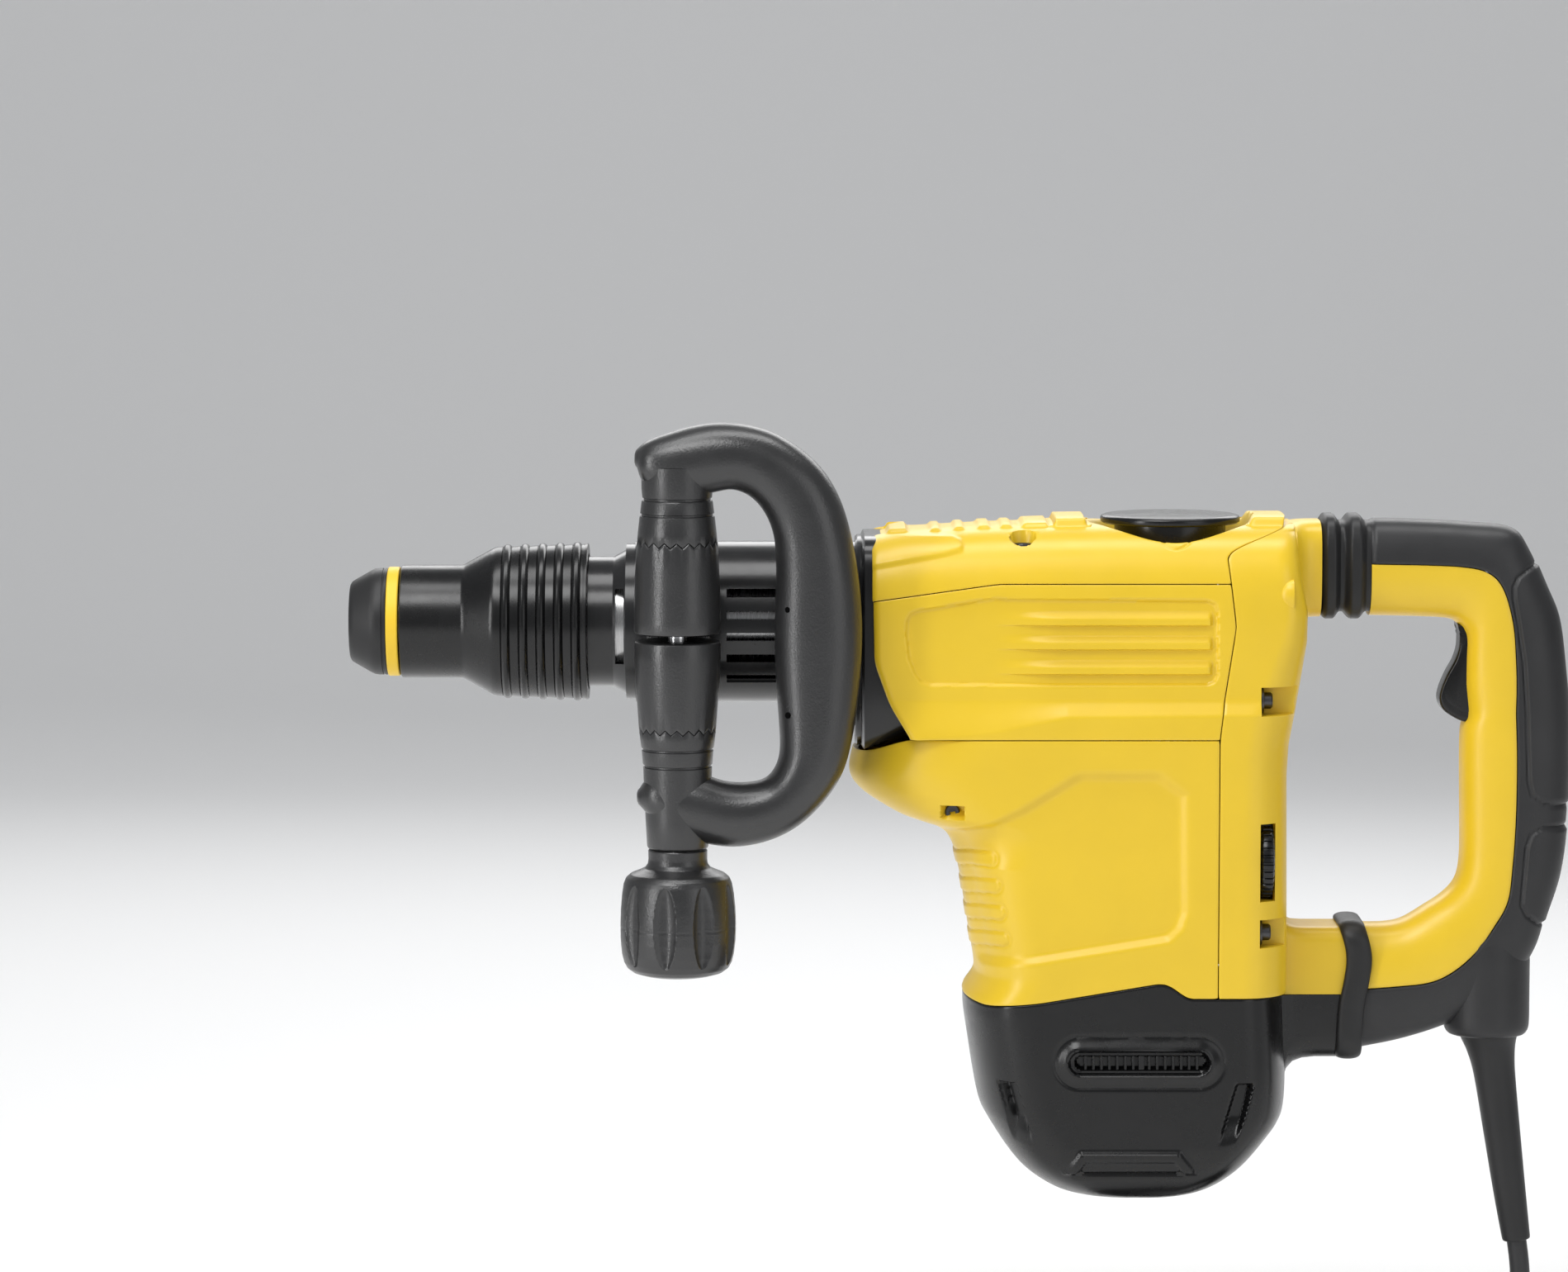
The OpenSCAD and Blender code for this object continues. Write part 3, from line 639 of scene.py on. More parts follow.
def side_details(x, z):
    """Depth of the sunk panel with its three louvre bars."""
    depth = 1.7 * soft(inside(PANEL, x, z) / 1.4)
    for top, bottom in LOUVRES:
        wedge = np.clip((top - z) / 3.2, 0, 1) * soft((z - bottom) / 0.9 + 0.5)
        depth -= 2.5 * wedge * soft((x - 296) / 34) * soft((397.2 - x) / 1.5)
    return depth


def make_side_cover(side, name, node):
    """Cover of one side, with rows of points gathered at the louvres' edges."""
    low_z = SIDE_LOW_Z + SEAM_GAP
    front_line = [(-51, 260.2), (-34.3, 249.9), (-15, 242.9), (14, 242.3)]
    edges = [bottom + d for _, bottom in LOUVRES for d in np.arange(-4, 5) * 0.15]
    share = (array(edges) - low_z) / (SIDE_TOP_Z - SEAM_GAP - low_z)
    v = np.unique(np.concatenate([np.linspace(0, 1, 84), share]))[:, None]
    u = np.linspace(0, 1, 190)[None, :]
    x = np.zeros((v.size, u.size))
    for _ in range(4):
        top = along(SIDE_SEAM, x, 3) - SEAM_GAP
        z = low_z + v * (top - low_z)
        front = along(front_line, z, 3, 4)
        x = front + u * (seam_x(z) - SEAM_GAP - front)
    y = half_width(x, z) - 1.6 * np.clip(1 - (x - front) / 3.2, 0, 1) ** 2
    grid = np.stack([x, side * y, z], -1)
    shift = np.stack([0 * x, -side * side_details(x, z), 0 * x], -1)
    piece(name, cover(grid, shift, AXIS_LINE), YELLOW, "root", [node], sharp=50)


make_side_cover(-1, "left_cover", "left_side_cover")
make_side_cover(1, "right_cover", "right_side_cover")

CAP_AT = (380.5, 0.0)
SCREW_X, SCREW_Y = 311, 33
PAD = [(230, 44), (279, 43.4), (283, 41.5), (284.6, 38), (283, 34.8), (276, 33), (258, 30),
       (230, 25)]
BUMPS = ((253.7, 5.2, 1.8), (271, 3, 1.3), (282, 3, 1.3), (293.4, 3.5, 1.3), (303.7, 3.2, 1.3),
         (317, 6.6, 1.7), (333.2, 8.2, 3.4))  # place along X, half length, height


def make_top_cover():
    front_x, rear_x = 242.0, 434.6
    nominal = np.linspace(0, np.pi / 2, 2000)
    arc = np.stack([HALF_TOP * np.cos(nominal) ** (2 / CORNER),
                    MID_Z + (TOP_Z - MID_Z) * np.sin(nominal) ** (2 / CORNER)], 1)
    start = np.searchsorted(arc[:, 1], SIDE_TOP_Z)
    run = run_length(arc[start:])
    angle = np.interp(np.linspace(0, run[-1], 90), run, nominal[start:])
    share = (angle - angle[0]) / (np.pi / 2 - angle[0])
    height = np.interp(angle, nominal, arc[:, 1])
    rear = np.minimum(seam_x(height), rear_x) - SEAM_GAP
    x = front_x + np.linspace(0, 1, 200)[None, :] * (rear[:, None] - front_x)
    top = along(TOP_LINE, x, 4)
    seam = along(SIDE_SEAM, x, 3) + SEAM_GAP
    first = np.arcsin(((seam - MID_Z) / (top - MID_Z)) ** (CORNER / 2))
    phi = first + (np.pi / 2 - first) * share[:, None]
    y = HALF_TOP * np.cos(phi) ** (2 / CORNER)
    z = MID_Z + (top - MID_Z) * np.sin(phi) ** (2 / CORNER)
    y[-1] = 0
    grid = mirrored(np.stack([x, -y, z], -1))
    x, y, z = np.moveaxis(grid, -1, 0)
    lift = np.zeros_like(x)
    for at, reach, rise in BUMPS:
        lift += rise * soft((reach - np.abs(x - at)) / 1.6) * soft((24 - np.abs(y)) / 3)
    lift += 3.6 * soft((x - 414.5) / 3.5) * soft((436 - x) / 2.6) * soft((24 - np.abs(y)) / 4)
    away = np.hypot(x - CAP_AT[0], y - CAP_AT[1])
    lift = lift * soft((away - 36) / 2.6) - 7 * soft((38.6 - away) / 5.2)
    hole = np.hypot(x - SCREW_X, np.abs(y) - SCREW_Y)
    thumb = np.hypot((x - 381) / 6.6, (z - 42.6) / 5.6)
    normal = outward(grid, AXIS_LINE)
    shift = normal * (1.2 * soft(inside(PAD, x, z) / 2.6) * (np.abs(y) > 20))[..., None]
    arc_groove = 0.6 * soft((0.13 - np.abs(thumb - 1)) / 0.1) * (z < 42.2) * (z > 30)
    shift -= normal * arc_groove[..., None]
    shift[..., 2] += lift
    shift[..., 2] -= 9 * soft((6.0 - hole) / 0.9)
    shift[:, :4] -= normal[:, :4] * (0.9 * (1 - np.linspace(0, 1, 4)) ** 2)[None, :, None]
    piece("upper_cover", cover(grid, shift, AXIS_LINE), YELLOW, "root", ["top_cover"], sharp=50)


make_top_cover()


def make_top_cap():
    profile = [(0.0, 38), (25.8, 38), (25.8, 45.9), (31.2, 46.1), (32.3, 47), (32.4, 48.6),
               (31.9, 49.5), (30.6, 50), (24, 50.4), (12, 50.6), (0.0, 50.65)]
    shape = Shape().turned(even(profile, 120), (*CAP_AT, 0), "z", 128)
    piece("grease_cap", shape, BLACK, "root", ["top_cap"])
    screws = Shape()
    for side in (-1, 1):
        screws.turned([(0.01, 36.6), (1.9, 36.6), (2.3, 38.8), (3.9, 39), (4.2, 38.4), (4.2, 34),
                       (0.01, 34)], (SCREW_X, side * SCREW_Y, 0), "z", 32)
    piece("upper_cover_screws", screws, DARK, "root")


make_top_cap()


# ---- motor housing and end cap ----

CAP_TOP, CAP_BOTTOM = -172.3, -266.5
CHIN = [(233.3, -58.3), (231.7, -66.4), (232.6, -71.8), (236.4, -76.6), (241.9, -80.8),
        (253.2, -87.4), (262, -90.6), (270, -93.2), (276, -97), (279.6, -103), (281.4, -110),
        (283.3, -118), (287.5, -143.8), (289.9, -158), (289.4, -163.4), (285.6, -169.6),
        (284.6, CAP_TOP)]
CAP_SEAM = [(270, CAP_TOP), (283.6, CAP_TOP), (294, -173.8), (318.9, -171.5), (373.9, -162.3),
            (378, -163), (386.8, -169.3), (434, -169.3), (470, -167)]
RECESS = [(258, -96), (280, -91.5), (294.5, -87.5), (309.5, -80.5), (335.9, -64), (373.8, -64),
          (386.6, -74), (387.4, -129.7), (384.6, -138), (378.7, -143.8), (315.2, -154.2),
          (292, -157), (258, -157.5)]
GRIP_RIBS = [(-104.9, 297.3), (-117.8, 299.3), (-130.1, 301.3), (-142.4, 303.2)]


def bow(x_front, x_seam, reach, half, shares, power=2.3):
    """Half outline in X and Y from the middle of the front round to the seam on the side."""
    a = np.linspace(0, np.pi / 2, 60)
    curve = np.stack([x_front + reach * (1 - np.cos(a) ** (2 / power)),
                      -half * np.sin(a) ** (2 / power)], 1)
    return placed(np.vstack([curve, [[x_seam, -half]]]), shares)


def make_motor_housing():
    shares = np.concatenate([np.linspace(0, 0.46, 104), np.linspace(0.46, 1, 62)[1:]])
    line = placed(spline(CHIN, 600), np.interp(np.linspace(0, 1, 176), [0, 0.1, 0.87, 1],
                                               [0, 0.14, 0.83, 1]))
    rows = []
    for x_front, z_front in line:
        reach = np.interp(z_front, [-110, -92, -58], [31, 46, 66])
        x, y = bow(x_front, SEAM_X - SEAM_GAP, reach, HALF_LOW, shares).T
        z_side = np.interp(z_front, [-400, -93, -58.3], [-400, -93, SIDE_LOW_Z - SEAM_GAP])
        z = z_front + (z_side - z_front) * soft((x - x_front) / 30)
        z = z + (along(CAP_SEAM, x, 2.5) + SEAM_GAP - CAP_TOP) * soft((-146 - z_front) / 26)
        rows.append(mirrored(np.column_stack([x, y, z])[::-1]))
    grid = array(rows)
    x, y, z = np.moveaxis(grid, -1, 0)
    depth = 2.4 * soft(inside(RECESS, x, z) / 5.0) * soft((np.abs(y) - 14) / 18)
    for at, end in GRIP_RIBS:
        tip = np.hypot(np.maximum(x - (end - 2.9), 0), z - at + 0.09 * (HALF_LOW - np.abs(y)))
        depth += 0.4 * np.exp(-((tip - 3.6) / 0.65) ** 2) - 0.55 * soft((3.4 - tip) / 1.2)
    screw_x, screw_z = 278.6, -83.6
    notch = soft((5.2 - np.abs(x - screw_x)) / 0.8) * soft((3.4 - np.abs(z - screw_z)) / 0.7)
    depth += 7 * notch * (np.abs(y) > 22)
    middle = array([350, 0, -110])
    shape = cover(grid, -outward(grid, middle) * depth[..., None], middle)
    piece("motor_cover", shape, YELLOW, "root", ["motor_housing"], sharp=50)
    screws = Shape()
    for side in (-1, 1):
        head = [(0.01, 36), (3.4, 36), (3.4, 43.6), (2.9, 44.1), (1.5, 44.1), (1.3, 42.8),
                (0.01, 42.8)]
        screws.turned([(r, side * y) for r, y in head], (screw_x, 0, screw_z), "y", 28)
    piece("chin_screws", screws, DARK, "root")


make_motor_housing()

END_FRONT = [(284.8, -173), (285.1, -179.9), (286.9, -192.8), (289.6, -210), (292.3, -222.8),
             (295.9, -230.5), (305.6, -245.5), (314.2, -255.1), (326, -263), (336.5, -266.5)]
END_REAR = [(433.5, -169.8), (434.2, -186), (435.2, -208.9), (434.5, -223.9), (432.3, -231),
            (427.7, -237.9), (416.2, -251.9), (404, -261.4), (391.8, -266.5)]
VENT_Z = -198.8
STEP = [(328.5, -251.5), (337.4, -239.8), (383.8, -239.8), (393.3, -251.5)]
STEP_SLOT = [(333.6, -253.5), (339.8, -244.4), (381.6, -244.4), (388.2, -253.5)]


def make_end_cap():
    count, round_r = 150, 28
    shares = np.linspace(0, 1, count)
    down = np.concatenate([np.linspace(0, 0.72, 84),
                           0.72 + 0.28 * np.sin(np.linspace(0, np.pi / 2, 35))[1:]])
    front, rear = spline(END_FRONT, 300), spline(END_REAR, 300)
    rows = []
    for z0 in CAP_TOP + down * (CAP_BOTTOM - CAP_TOP):
        x0, x1 = (np.interp(-z0, -line[:, 1], line[:, 0]) for line in (front, rear))
        drop = min(max(CAP_BOTTOM + round_r - z0, 0) / round_r, 1)
        half = HALF_LOW - round_r + round_r * math.sqrt(1 - drop**2)
        reach, mid = min(31, (x1 - x0) / 2 - 1), (x0 + x1) / 2
        fore = bow(x0, mid, reach, half, shares)
        aft = bow(-x1, -mid, min(24, reach), half, shares)[::-1] * [-1, 1]
        side = np.vstack([fore, aft[1:]])
        ring = np.vstack([side, side[-2:0:-1] * [1, -1]])
        fade = soft((z0 + 196) / 24)
        rows.append(np.column_stack([
            ring, z0 + (along(CAP_SEAM, ring[:, 0], 2.5) - SEAM_GAP - CAP_TOP) * fade]))
    grid = array(rows)
    x, y, z = np.moveaxis(grid, -1, 0)
    ring_at = np.hypot(np.maximum(np.abs(x - 364.6) - 27, 0), z - VENT_Z)
    slot_at = np.hypot(np.maximum(np.abs(x - 365.5) - 27.5, 0), z - VENT_Z)
    depth = 0.6 * np.exp(-((ring_at - 11.9) / 0.6) ** 2) + 2.4 * soft((5.9 - ring_at) / 1.3)
    depth += 4.5 * soft((3.2 - slot_at) / 0.8) - 2.3 * np.clip((10.4 - ring_at) / 3.6, 0, 1)
    depth = depth * soft((np.abs(y) - 40) / 6)
    step = 2.0 * soft(inside(STEP, x, z) / 1.8) - 1.8 * soft(inside(STEP_SLOT, x, z) / 1.2)
    depth -= step * soft((np.abs(y) - 12) / 8) * soft((z + 262) / 8)
    for at, lean in ((307.6, 0.28), (409.5, -0.3)):
        off = np.abs(x - at + lean * (z + 222))
        cut = soft((4.6 - off) / 1.6) * soft((-208.6 - z) / 1.2) * soft((z + 238) / 14)
        depth += 5.0 * cut * soft((np.abs(y) - 24) / 8)
    middle = array([360, 0, -215])
    shape = cover(grid, -outward(grid, middle) * depth[..., None], middle, loop=True)
    shape.loft([grid[-1], grid[-1] * [1, 0.6, 1] + [0, 0, -0.02],
                grid[-1] * [0.4, 0, 1] + [0.6 * 364, 0, -0.02]], caps=False)
    piece("end_cap", shape, BLACK, "root", ["motor_end_cap"], sharp=50)
    bars = Shape()
    for side in (-1, 1):
        for i in range(15):
            at, y = 339.9 + 3.66 * i, side * 49.6
            half = 1.3 if i == 7 else 0.6
            bars.box((at - half, y - 2.2, VENT_Z - 3.3), (at + half, y + 2.2, VENT_Z + 3.3))
    piece("vent_bars", bars, BLACK, "root", bevel=0.2)


make_end_cap()


# ---- rear cover ----

REAR_LINE = [(433.5, -180), (433.5, -140), (432.9, -68), (433.7, -54), (438, -30.5), (441.4, -6),
             (441.4, 8), (438.6, 22), (437, 34), (436.4, 48)]
POCKET_X = 419.6
DIAL_END_X = 426.7
NOTCHES = [-32.5, -139.5]
NOTCH_FLOOR = 37.5
DIAL_SLOT = (-124.6, -88.8)


def stern(x_seam, x_rear, half, round_r):
    """Half outline in X and Y from the seam round to the middle of the rear, in three runs."""
    a = np.linspace(0, np.pi / 2, 40)
    r = min(round_r, half - 1, x_rear - x_seam - 0.5)
    curve = np.stack([x_rear - r + r * np.sin(a), -(half - r + r * np.cos(a))], 1)
    line = even(np.vstack([[[x_seam, -half]], curve, [[x_rear, 0]]]), 400)
    limits = [x_seam, max(POCKET_X, x_seam + 0.6), max(DIAL_END_X, x_seam + 1.2)]
    runs = []
    for x0, x1, count in ((*limits[:2], 14), (*limits[1:], 10)):
        xs = np.append(np.linspace(x0, x1 - 0.05, count - 1), x1)
        runs.append(np.column_stack([xs, np.interp(xs, line[:, 0], line[:, 1])]))
    first = np.searchsorted(line[:, 0], limits[2] + 0.05)
    return np.vstack([*runs, even(line[first:], 56)])


def half_round(half, z_flat, z_round, r):
    """Section in Y and Z with one flat edge and two round corners."""
    turn = r if z_round > z_flat else -r
    out = [(half, z_flat)]
    for i in range(11):
        a = math.radians(9 * i)
        out.append((half - r + r * math.cos(a), z_round - turn + turn * math.sin(a)))
    return array(out + [(-y, z) for y, z in out[::-1]])


def make_rear_cover():
    bottom_z = -168.6
    keys = [z + s for z in NOTCHES for s in (-6.5, 6.5)] + list(DIAL_SLOT)
    top_angle = np.linspace(0, 1.42, 60)[1:]
    heights = np.concatenate([
        np.arange(bottom_z, MID_Z, 1.7), [k + e for k in keys for e in (-0.05, 0.05)],
        MID_Z + (TOP_Z - MID_Z) * np.sin(top_angle) ** (2 / CORNER)])
    rows = []
    for z in np.unique(np.round(heights, 3)):
        half = float(half_width(np.array(405.0), np.array(z)))
        x_rear = float(np.interp(z, *array(REAR_LINE).T[::-1]))
        round_r = float(np.interp(z, [-40, 5, 47], [22, 11, 9]))
        x_seam = min(float(seam_x(np.array(z))), x_rear - 2.5) + SEAM_GAP
        rows.append(mirrored(np.insert(stern(x_seam, x_rear, half, round_r), 2, z, axis=1)))
    grid = array(rows)
    x, y, z = np.moveaxis(grid.copy(), -1, 0)
    lower = np.clip((-150 - z) / (-150 - bottom_z), 0, 1)
    grid[..., 2] = z + lower * (along(CAP_SEAM, x, 2.5) + SEAM_GAP - bottom_z)
    z = grid[..., 2]
    shift = np.zeros_like(grid)
    past = x > POCKET_X - 0.02
    for at in NOTCHES:
        hit = past & (np.abs(z - at) < 6.5) & (np.abs(y) > NOTCH_FLOOR)
        shift[..., 1] = np.where(hit, np.sign(y) * (NOTCH_FLOOR - np.abs(y)), shift[..., 1])
    slot = past & (x < DIAL_END_X) & (z > DIAL_SLOT[0]) & (z < DIAL_SLOT[1]) & (y < -20)
    shift[..., 1] = np.where(slot, 13, shift[..., 1])
    shape = cover(grid, shift, array([400, 0, -60]), wall=2.4)
    turn = np.linspace(-math.pi / 2, 3 * math.pi / 2, 41)[:-1]
    for side in (-1, 1):
        shape.loft([[(434.2 - 7.4 * math.cos(b) * max(math.cos(a), 0),
                      side * (44.6 + 5 * math.sin(b)), 16.2 + 7.2 * math.cos(b) * math.sin(a))
                     for a in turn] for b in np.linspace(0, np.pi / 2, 14)])
    collar = []
    for at, grow in ((430, 9), (437.4, 9), (438.6, 5.4), (440.4, 2.6), (443, 0.9), (446, 0.2),
                     (449.4, 0), (449.6, -1.2), (447, -3), (430, -3)):
        outline = egg(20.4 + grow, 22.4 + grow * (0.25 if grow > 0 else 1), 3.6, 96)
        collar.append(in_x(outline + [0, 25.2 - max(grow, 0) * 0.34], at))
    shape.hoop(collar)
    shape.loft([in_x(half_round(19 + grow * 0.3, -172.2, -141.4 + grow, 7), at) for at, grow in (
        (428, 3), (434, 3), (436, 1.4), (439, 0.3), (444, 0), (464, 0))])
    piece("back_cover", shape, YELLOW, "root", ["rear_cover"], sharp=42)
    lower = Shape().loft([
        in_x(half_round(19 + grow * 0.2, -172.4, -203.2 - grow, 12), at) for at, grow in (
            (426, 12), (433.5, 11), (435.5, 5.5), (438.5, 2.2), (443, 0.6), (449, 0), (464, 0))])
    piece("lower_arm_shell", lower, BLACK, "root")


make_rear_cover()


def make_rear_cover_screws():
    shape = Shape()
    for side in (-1, 1):
        for z in NOTCHES:
            at = (0, side * 42.3, z)
            shape.turned([(0.01, 422.6), (1.7, 422.6), (1.7, 425), (3.1, 425), (3.8, 424.2),
                          (3.9, 419.7), (0.01, 419.7)], at, "x", 24)
            shape.turned([(0.01, 419.9), (6.2, 419.9), (6.2, 420.6), (5.8, 421), (0.01, 421)],
                         at, "x", 32)
    piece("cover_screws", shape, DARK, "root", ["rear_cover_screws"], "bright_steel")


make_rear_cover_screws()


def make_dial():
    def knurl(r, s, a):
        return r - np.where(r > 16, 0.75 * (np.cos(34 * a) > 0.1), 0), s

    profile = [(2.1, 420.2), (16.8, 420.2), (18.1, 420.9), (18.4, 421.6), (18.4, 424.9),
               (18.1, 425.6), (16.8, 426.2), (2.1, 426.2)]
    shape = Shape().turned(profile, (0, -33.5, -106.7), "x", 272, knurl)
    piece("speed_wheel", shape, BLACK, "dial", ["speed_dial"], sharp=30)


make_dial()


# ---- nose and barrel ----

RIBS = (73.4, 81.6, 89.7, 97.8, 105.8)


def make_nose():
    nose = [(13.1, 7.9), (13.1, 0.4), (13.6, 0.05), (17.2, 0.15), (18.5, 0.9), (19.6, 2.6),
            (23.6, 9.6), (24.5, 11.5), (24.8, 13.6), (24.8, 15.4), (24.35, 15.6), (24.35, 16.1),
            (24.8, 16.3), (24.8, 17.2), (24.5, 17.6), (17.1, 17.6), (17.1, 12)]
    piece("rubber_nose", Shape().turned(nose, sides=160), RUBBER, "tool_holder", ["nose_cap"])
    ring = [(17.1, 17.75), (24.9, 17.75), (25.3, 18.2), (25.35, 20.4), (25.3, 22.7), (24.9, 23.15),
            (17.1, 23.15)]
    piece("yellow_ring", Shape().turned(ring, sides=160), BAND, "tool_holder", ["retaining_ring"])
    outer = [(19.7, 23.8), (25.4, 23.8), (26.0, 24.2), (26.2, 25), (26.25, 52), (26.6, 53.1),
             (27.3, 54.3), (33.6, 65.6), (34.3, 66.9), (34.6, 68.4), (34.7, 70)]
    for at in RIBS:
        grow = 34.75 + (at - 73) * 0.034
        outer += [(grow + r, at + x) for r, x in (
            (0, -2.5), (-0.3, -2.2), (0.5, -1.7), (1, -0.9),
            (1, 0.3), (0.5, 1.2), (-0.3, 1.7), (0, 2))]
    outer += [(35.95, 109), (36.3, 109.8), (36.3, 110.4), (35.9, 110.7), (31.7, 110.7), (31.7, 68),
              (19.7, 54)]
    collar = Shape().turned(outer, sides=200)
    piece("lock_collar", collar, BLACK, "sleeve", ["lock_sleeve"], sharp=30)


make_nose()


def make_gear_nose():
    """Glossy front of the gear case, with its round step for the barrel and four screws."""
    front_x = 234.2
    rings = []
    for at, inset, power in ((front_x, 2.2, 2.5), (234.3, 0.9, 2.5), (235.2, 0.1, 2.5),
                             (237.0, 0, 2.6), (237.6, -0.2, 4.6), (238.4, -1.1, 5.5),
                             (242, -1.1, 5.5), (264, -1.1, 5.5)):
        low = -57.6 + (at - front_x) * 0.26
        top = 40.4 if power < 3 else 40.6
        outline = egg(39.6 - inset, (top - low) / 2 - inset, power, 160) + [0, (top + low) / 2]
        rings.append(in_x(outline, at))
    piece("gear_case_front", Shape().loft(rings), GLOSS, "root", ["gear_case"], sharp=30)
    screws = Shape()
    for y, z in ((-27, 25), (27, 25), (-24, -42), (24, -42)):
        screws.turned([(0.01, 234.6), (2, 234.6), (2, 233), (3.4, 233), (3.9, 233.5), (3.9, 236.6),
                       (0.01, 236.6)], (0, y, z), "x", 24)
    piece("gear_case_screws", screws, DARK, "root")


make_gear_nose()


# ---- side handle ----

COLUMN = (153.0, -62.0)
TEETH = 20
BAND_R = 41.05  # the clamp's band round the barrel, with its clearance
LOOP_OUTER = [
    (135.2, 84.4), (139.5, 88.0), (148, 91.2), (160, 94.6), (172, 96.1), (186, 94.8), (200, 90.0),
    (216.6, 77.8), (227.4, 60.5), (233.4, 38), (236.3, 16), (236.9, -4), (235.6, -24),
    (233.2, -44), (227.4, -65.4), (213.5, -83.2), (198.4, -93.0), (181, -97.2), (165, -95.6),
    (152, -90.8), (142, -84.8), (136.0, -78.6)]
LOOP_INNER = [
    (134.9, 75.6), (137.5, 69), (146, 63.6), (158, 62.4), (169.5, 64.4), (178.5, 65.8), (187, 62),
    (193.4, 54), (197.0, 43.5), (197.8, 30), (197.4, 14), (197.1, -4), (197.9, -24), (199.2, -42),
    (199.2, -55.5), (194.6, -64.6), (186.5, -67.7), (174.5, -67.4), (163, -63.6), (151, -62.5),
    (140.5, -64.4), (135.6, -70.6)]
LOOP_HALF = [6, 11.5, 14.6, 15.8, 16, 15.8, 15.6, *[15.5] * 8, 15.6, 15.8, 16, 15.8, 14.8, 12, 6.5]


def toothed(low, high):
    """Zigzag end of a turned part, on its points between two heights."""
    def wobble(r, s, a):
        zigzag = 4 * np.abs((a * TEETH / (2 * np.pi)) % 1 - 0.5) - 1
        return r, s + np.where((s > low) & (s < high), 1.15 * zigzag, 0) * soft((r - 9) / 6)
    return wobble


def side_section(outer, inner, half):
    """Closed section across the loop, in the plane from its inner to its outer side."""
    c, s = egg(1, 1, 2.2, 72).T
    return in_y((outer + inner) / 2 + c[:, None] * (outer - inner) / 2, COLUMN[1] + s * half)


def make_loop():
    count = 210
    outer, inner = spline(LOOP_OUTER, count), spline(LOOP_INNER, count)
    half = spline(array(LOOP_HALF)[:, None], count)[:, 0]
    rings = [side_section(*row) for row in zip(eased(outer, 10), eased(inner, 10), half)]
    tips = [[ring.mean(0) + (ring - ring.mean(0)) * size - [out, 0, 0]
             for size, out in ((0.45, 1.3), (0.8, 0.8))] for ring in (rings[0], rings[-1])]
    shape = Shape().loft(tips[0] + rings + tips[1][::-1])
    upper = [(4.6, 41.5), (17.9, 41.5), (18.15, 42), (17.9, 46), (17.1, 53.2), (16.9, 53.8),
             (16.2, 54.1), (16.2, 54.8), (16.8, 55.1), (16.2, 60.2), (15.9, 60.8), (15.2, 61.1),
             (15.2, 61.9), (15.8, 62.2), (16.2, 66), (16.3, 76), (4.6, 76)]
    lower = [(4.6, -43.9), (17.2, -43.9), (17.4, -44.5), (17.0, -48), (16.6, -51.2), (16.4, -51.8),
             (15.7, -52.1), (15.7, -52.8), (16.3, -53.1), (15.9, -58.8), (15.7, -59.4), (15, -59.7),
             (15, -60.4), (15.7, -60.7), (15.4, -70), (14.6, -86), (14.0, -96.8), (13.6, -97.6),
             (12.8, -98), (4.6, -98)]
    shape.turned(upper, (*COLUMN, 0), "z", 240, toothed(0, 43))
    shape.turned(lower, (*COLUMN, 0), "z", 240, toothed(-45.5, 0))
    piece("loop_grip", shape, LOOP, "side_loop", ["side_handle_loop"], sharp=40)
    # Two black discs on the loop: painted shade where small holes would be; the holes themselves are
    # not modelled
    shade_dots = Shape()
    lean = math.radians(-40)
    c, s = math.cos(lean), math.sin(lean)
    for z in (12.0, -36.0):
        shade_dots.turned([(0.01, -0.25), (1.2, -0.2), (1.45, 0.1), (1.45, 3), (0.01, 3)],
                    axis="y", sides=24)
        x, y, up = shade_dots.points[-1].T
        shade_dots.points[-1] = np.column_stack([202.9 + x * c - y * s, -73.5 + x * s + y * c, up + z])
    piece("loop_hole_shade_dots", shade_dots, HOLE_SHADE, "side_loop")


make_loop()


def make_clamp():
    """Two grips of the column, each with a foot that ends on the band."""
    upper = [(4.6, 0.45), (18.9, 0.45), (19.45, 0.8), (19.7, 1.6), (19.75, 6), (19.5, 18),
             (19.0, 30), (18.5, 39.6), (18.3, 40.7), (18.0, 41.1), (4.6, 41.1)]
    lower = [(4.6, -3.25), (18.9, -3.25), (19.45, -3.6), (19.7, -4.4), (19.6, -12), (19, -24),
             (18.2, -34), (17.7, -41.9), (17.5, -43.1), (17.2, -43.5), (4.6, -43.5)]
    for name, node, profile, teeth, z0, z1 in (
            ("clamp_top", "clamp_upper", upper, toothed(39, 50), 1.2, 34.4),
            ("clamp_bottom", "clamp_lower", lower, toothed(-50, -41), -37.2, -4.0)):
        shape = Shape().turned(profile, (*COLUMN, 0), "z", 240, teeth)
        outline = rounded((COLUMN[0] - 14.5, z0), (COLUMN[0] + 14.5, z1), 5)
        middle = array([COLUMN[0], (z0 + z1) / 2])
        near, far = COLUMN[1] + 6, -np.sqrt(BAND_R**2 - outline[:, 1] ** 2)
        rings = []
        for part in np.linspace(0, 1, 12):
            grow = 1 + 0.1 * (1 - soft(part * 2.2))
            rings.append(in_y(middle + (outline - middle) * [grow, 1], near + (far - near) * part))
        shape.loft(rings)
        piece(name, shape, LOOP, "side_clamp", [node], sharp=40)


make_clamp()


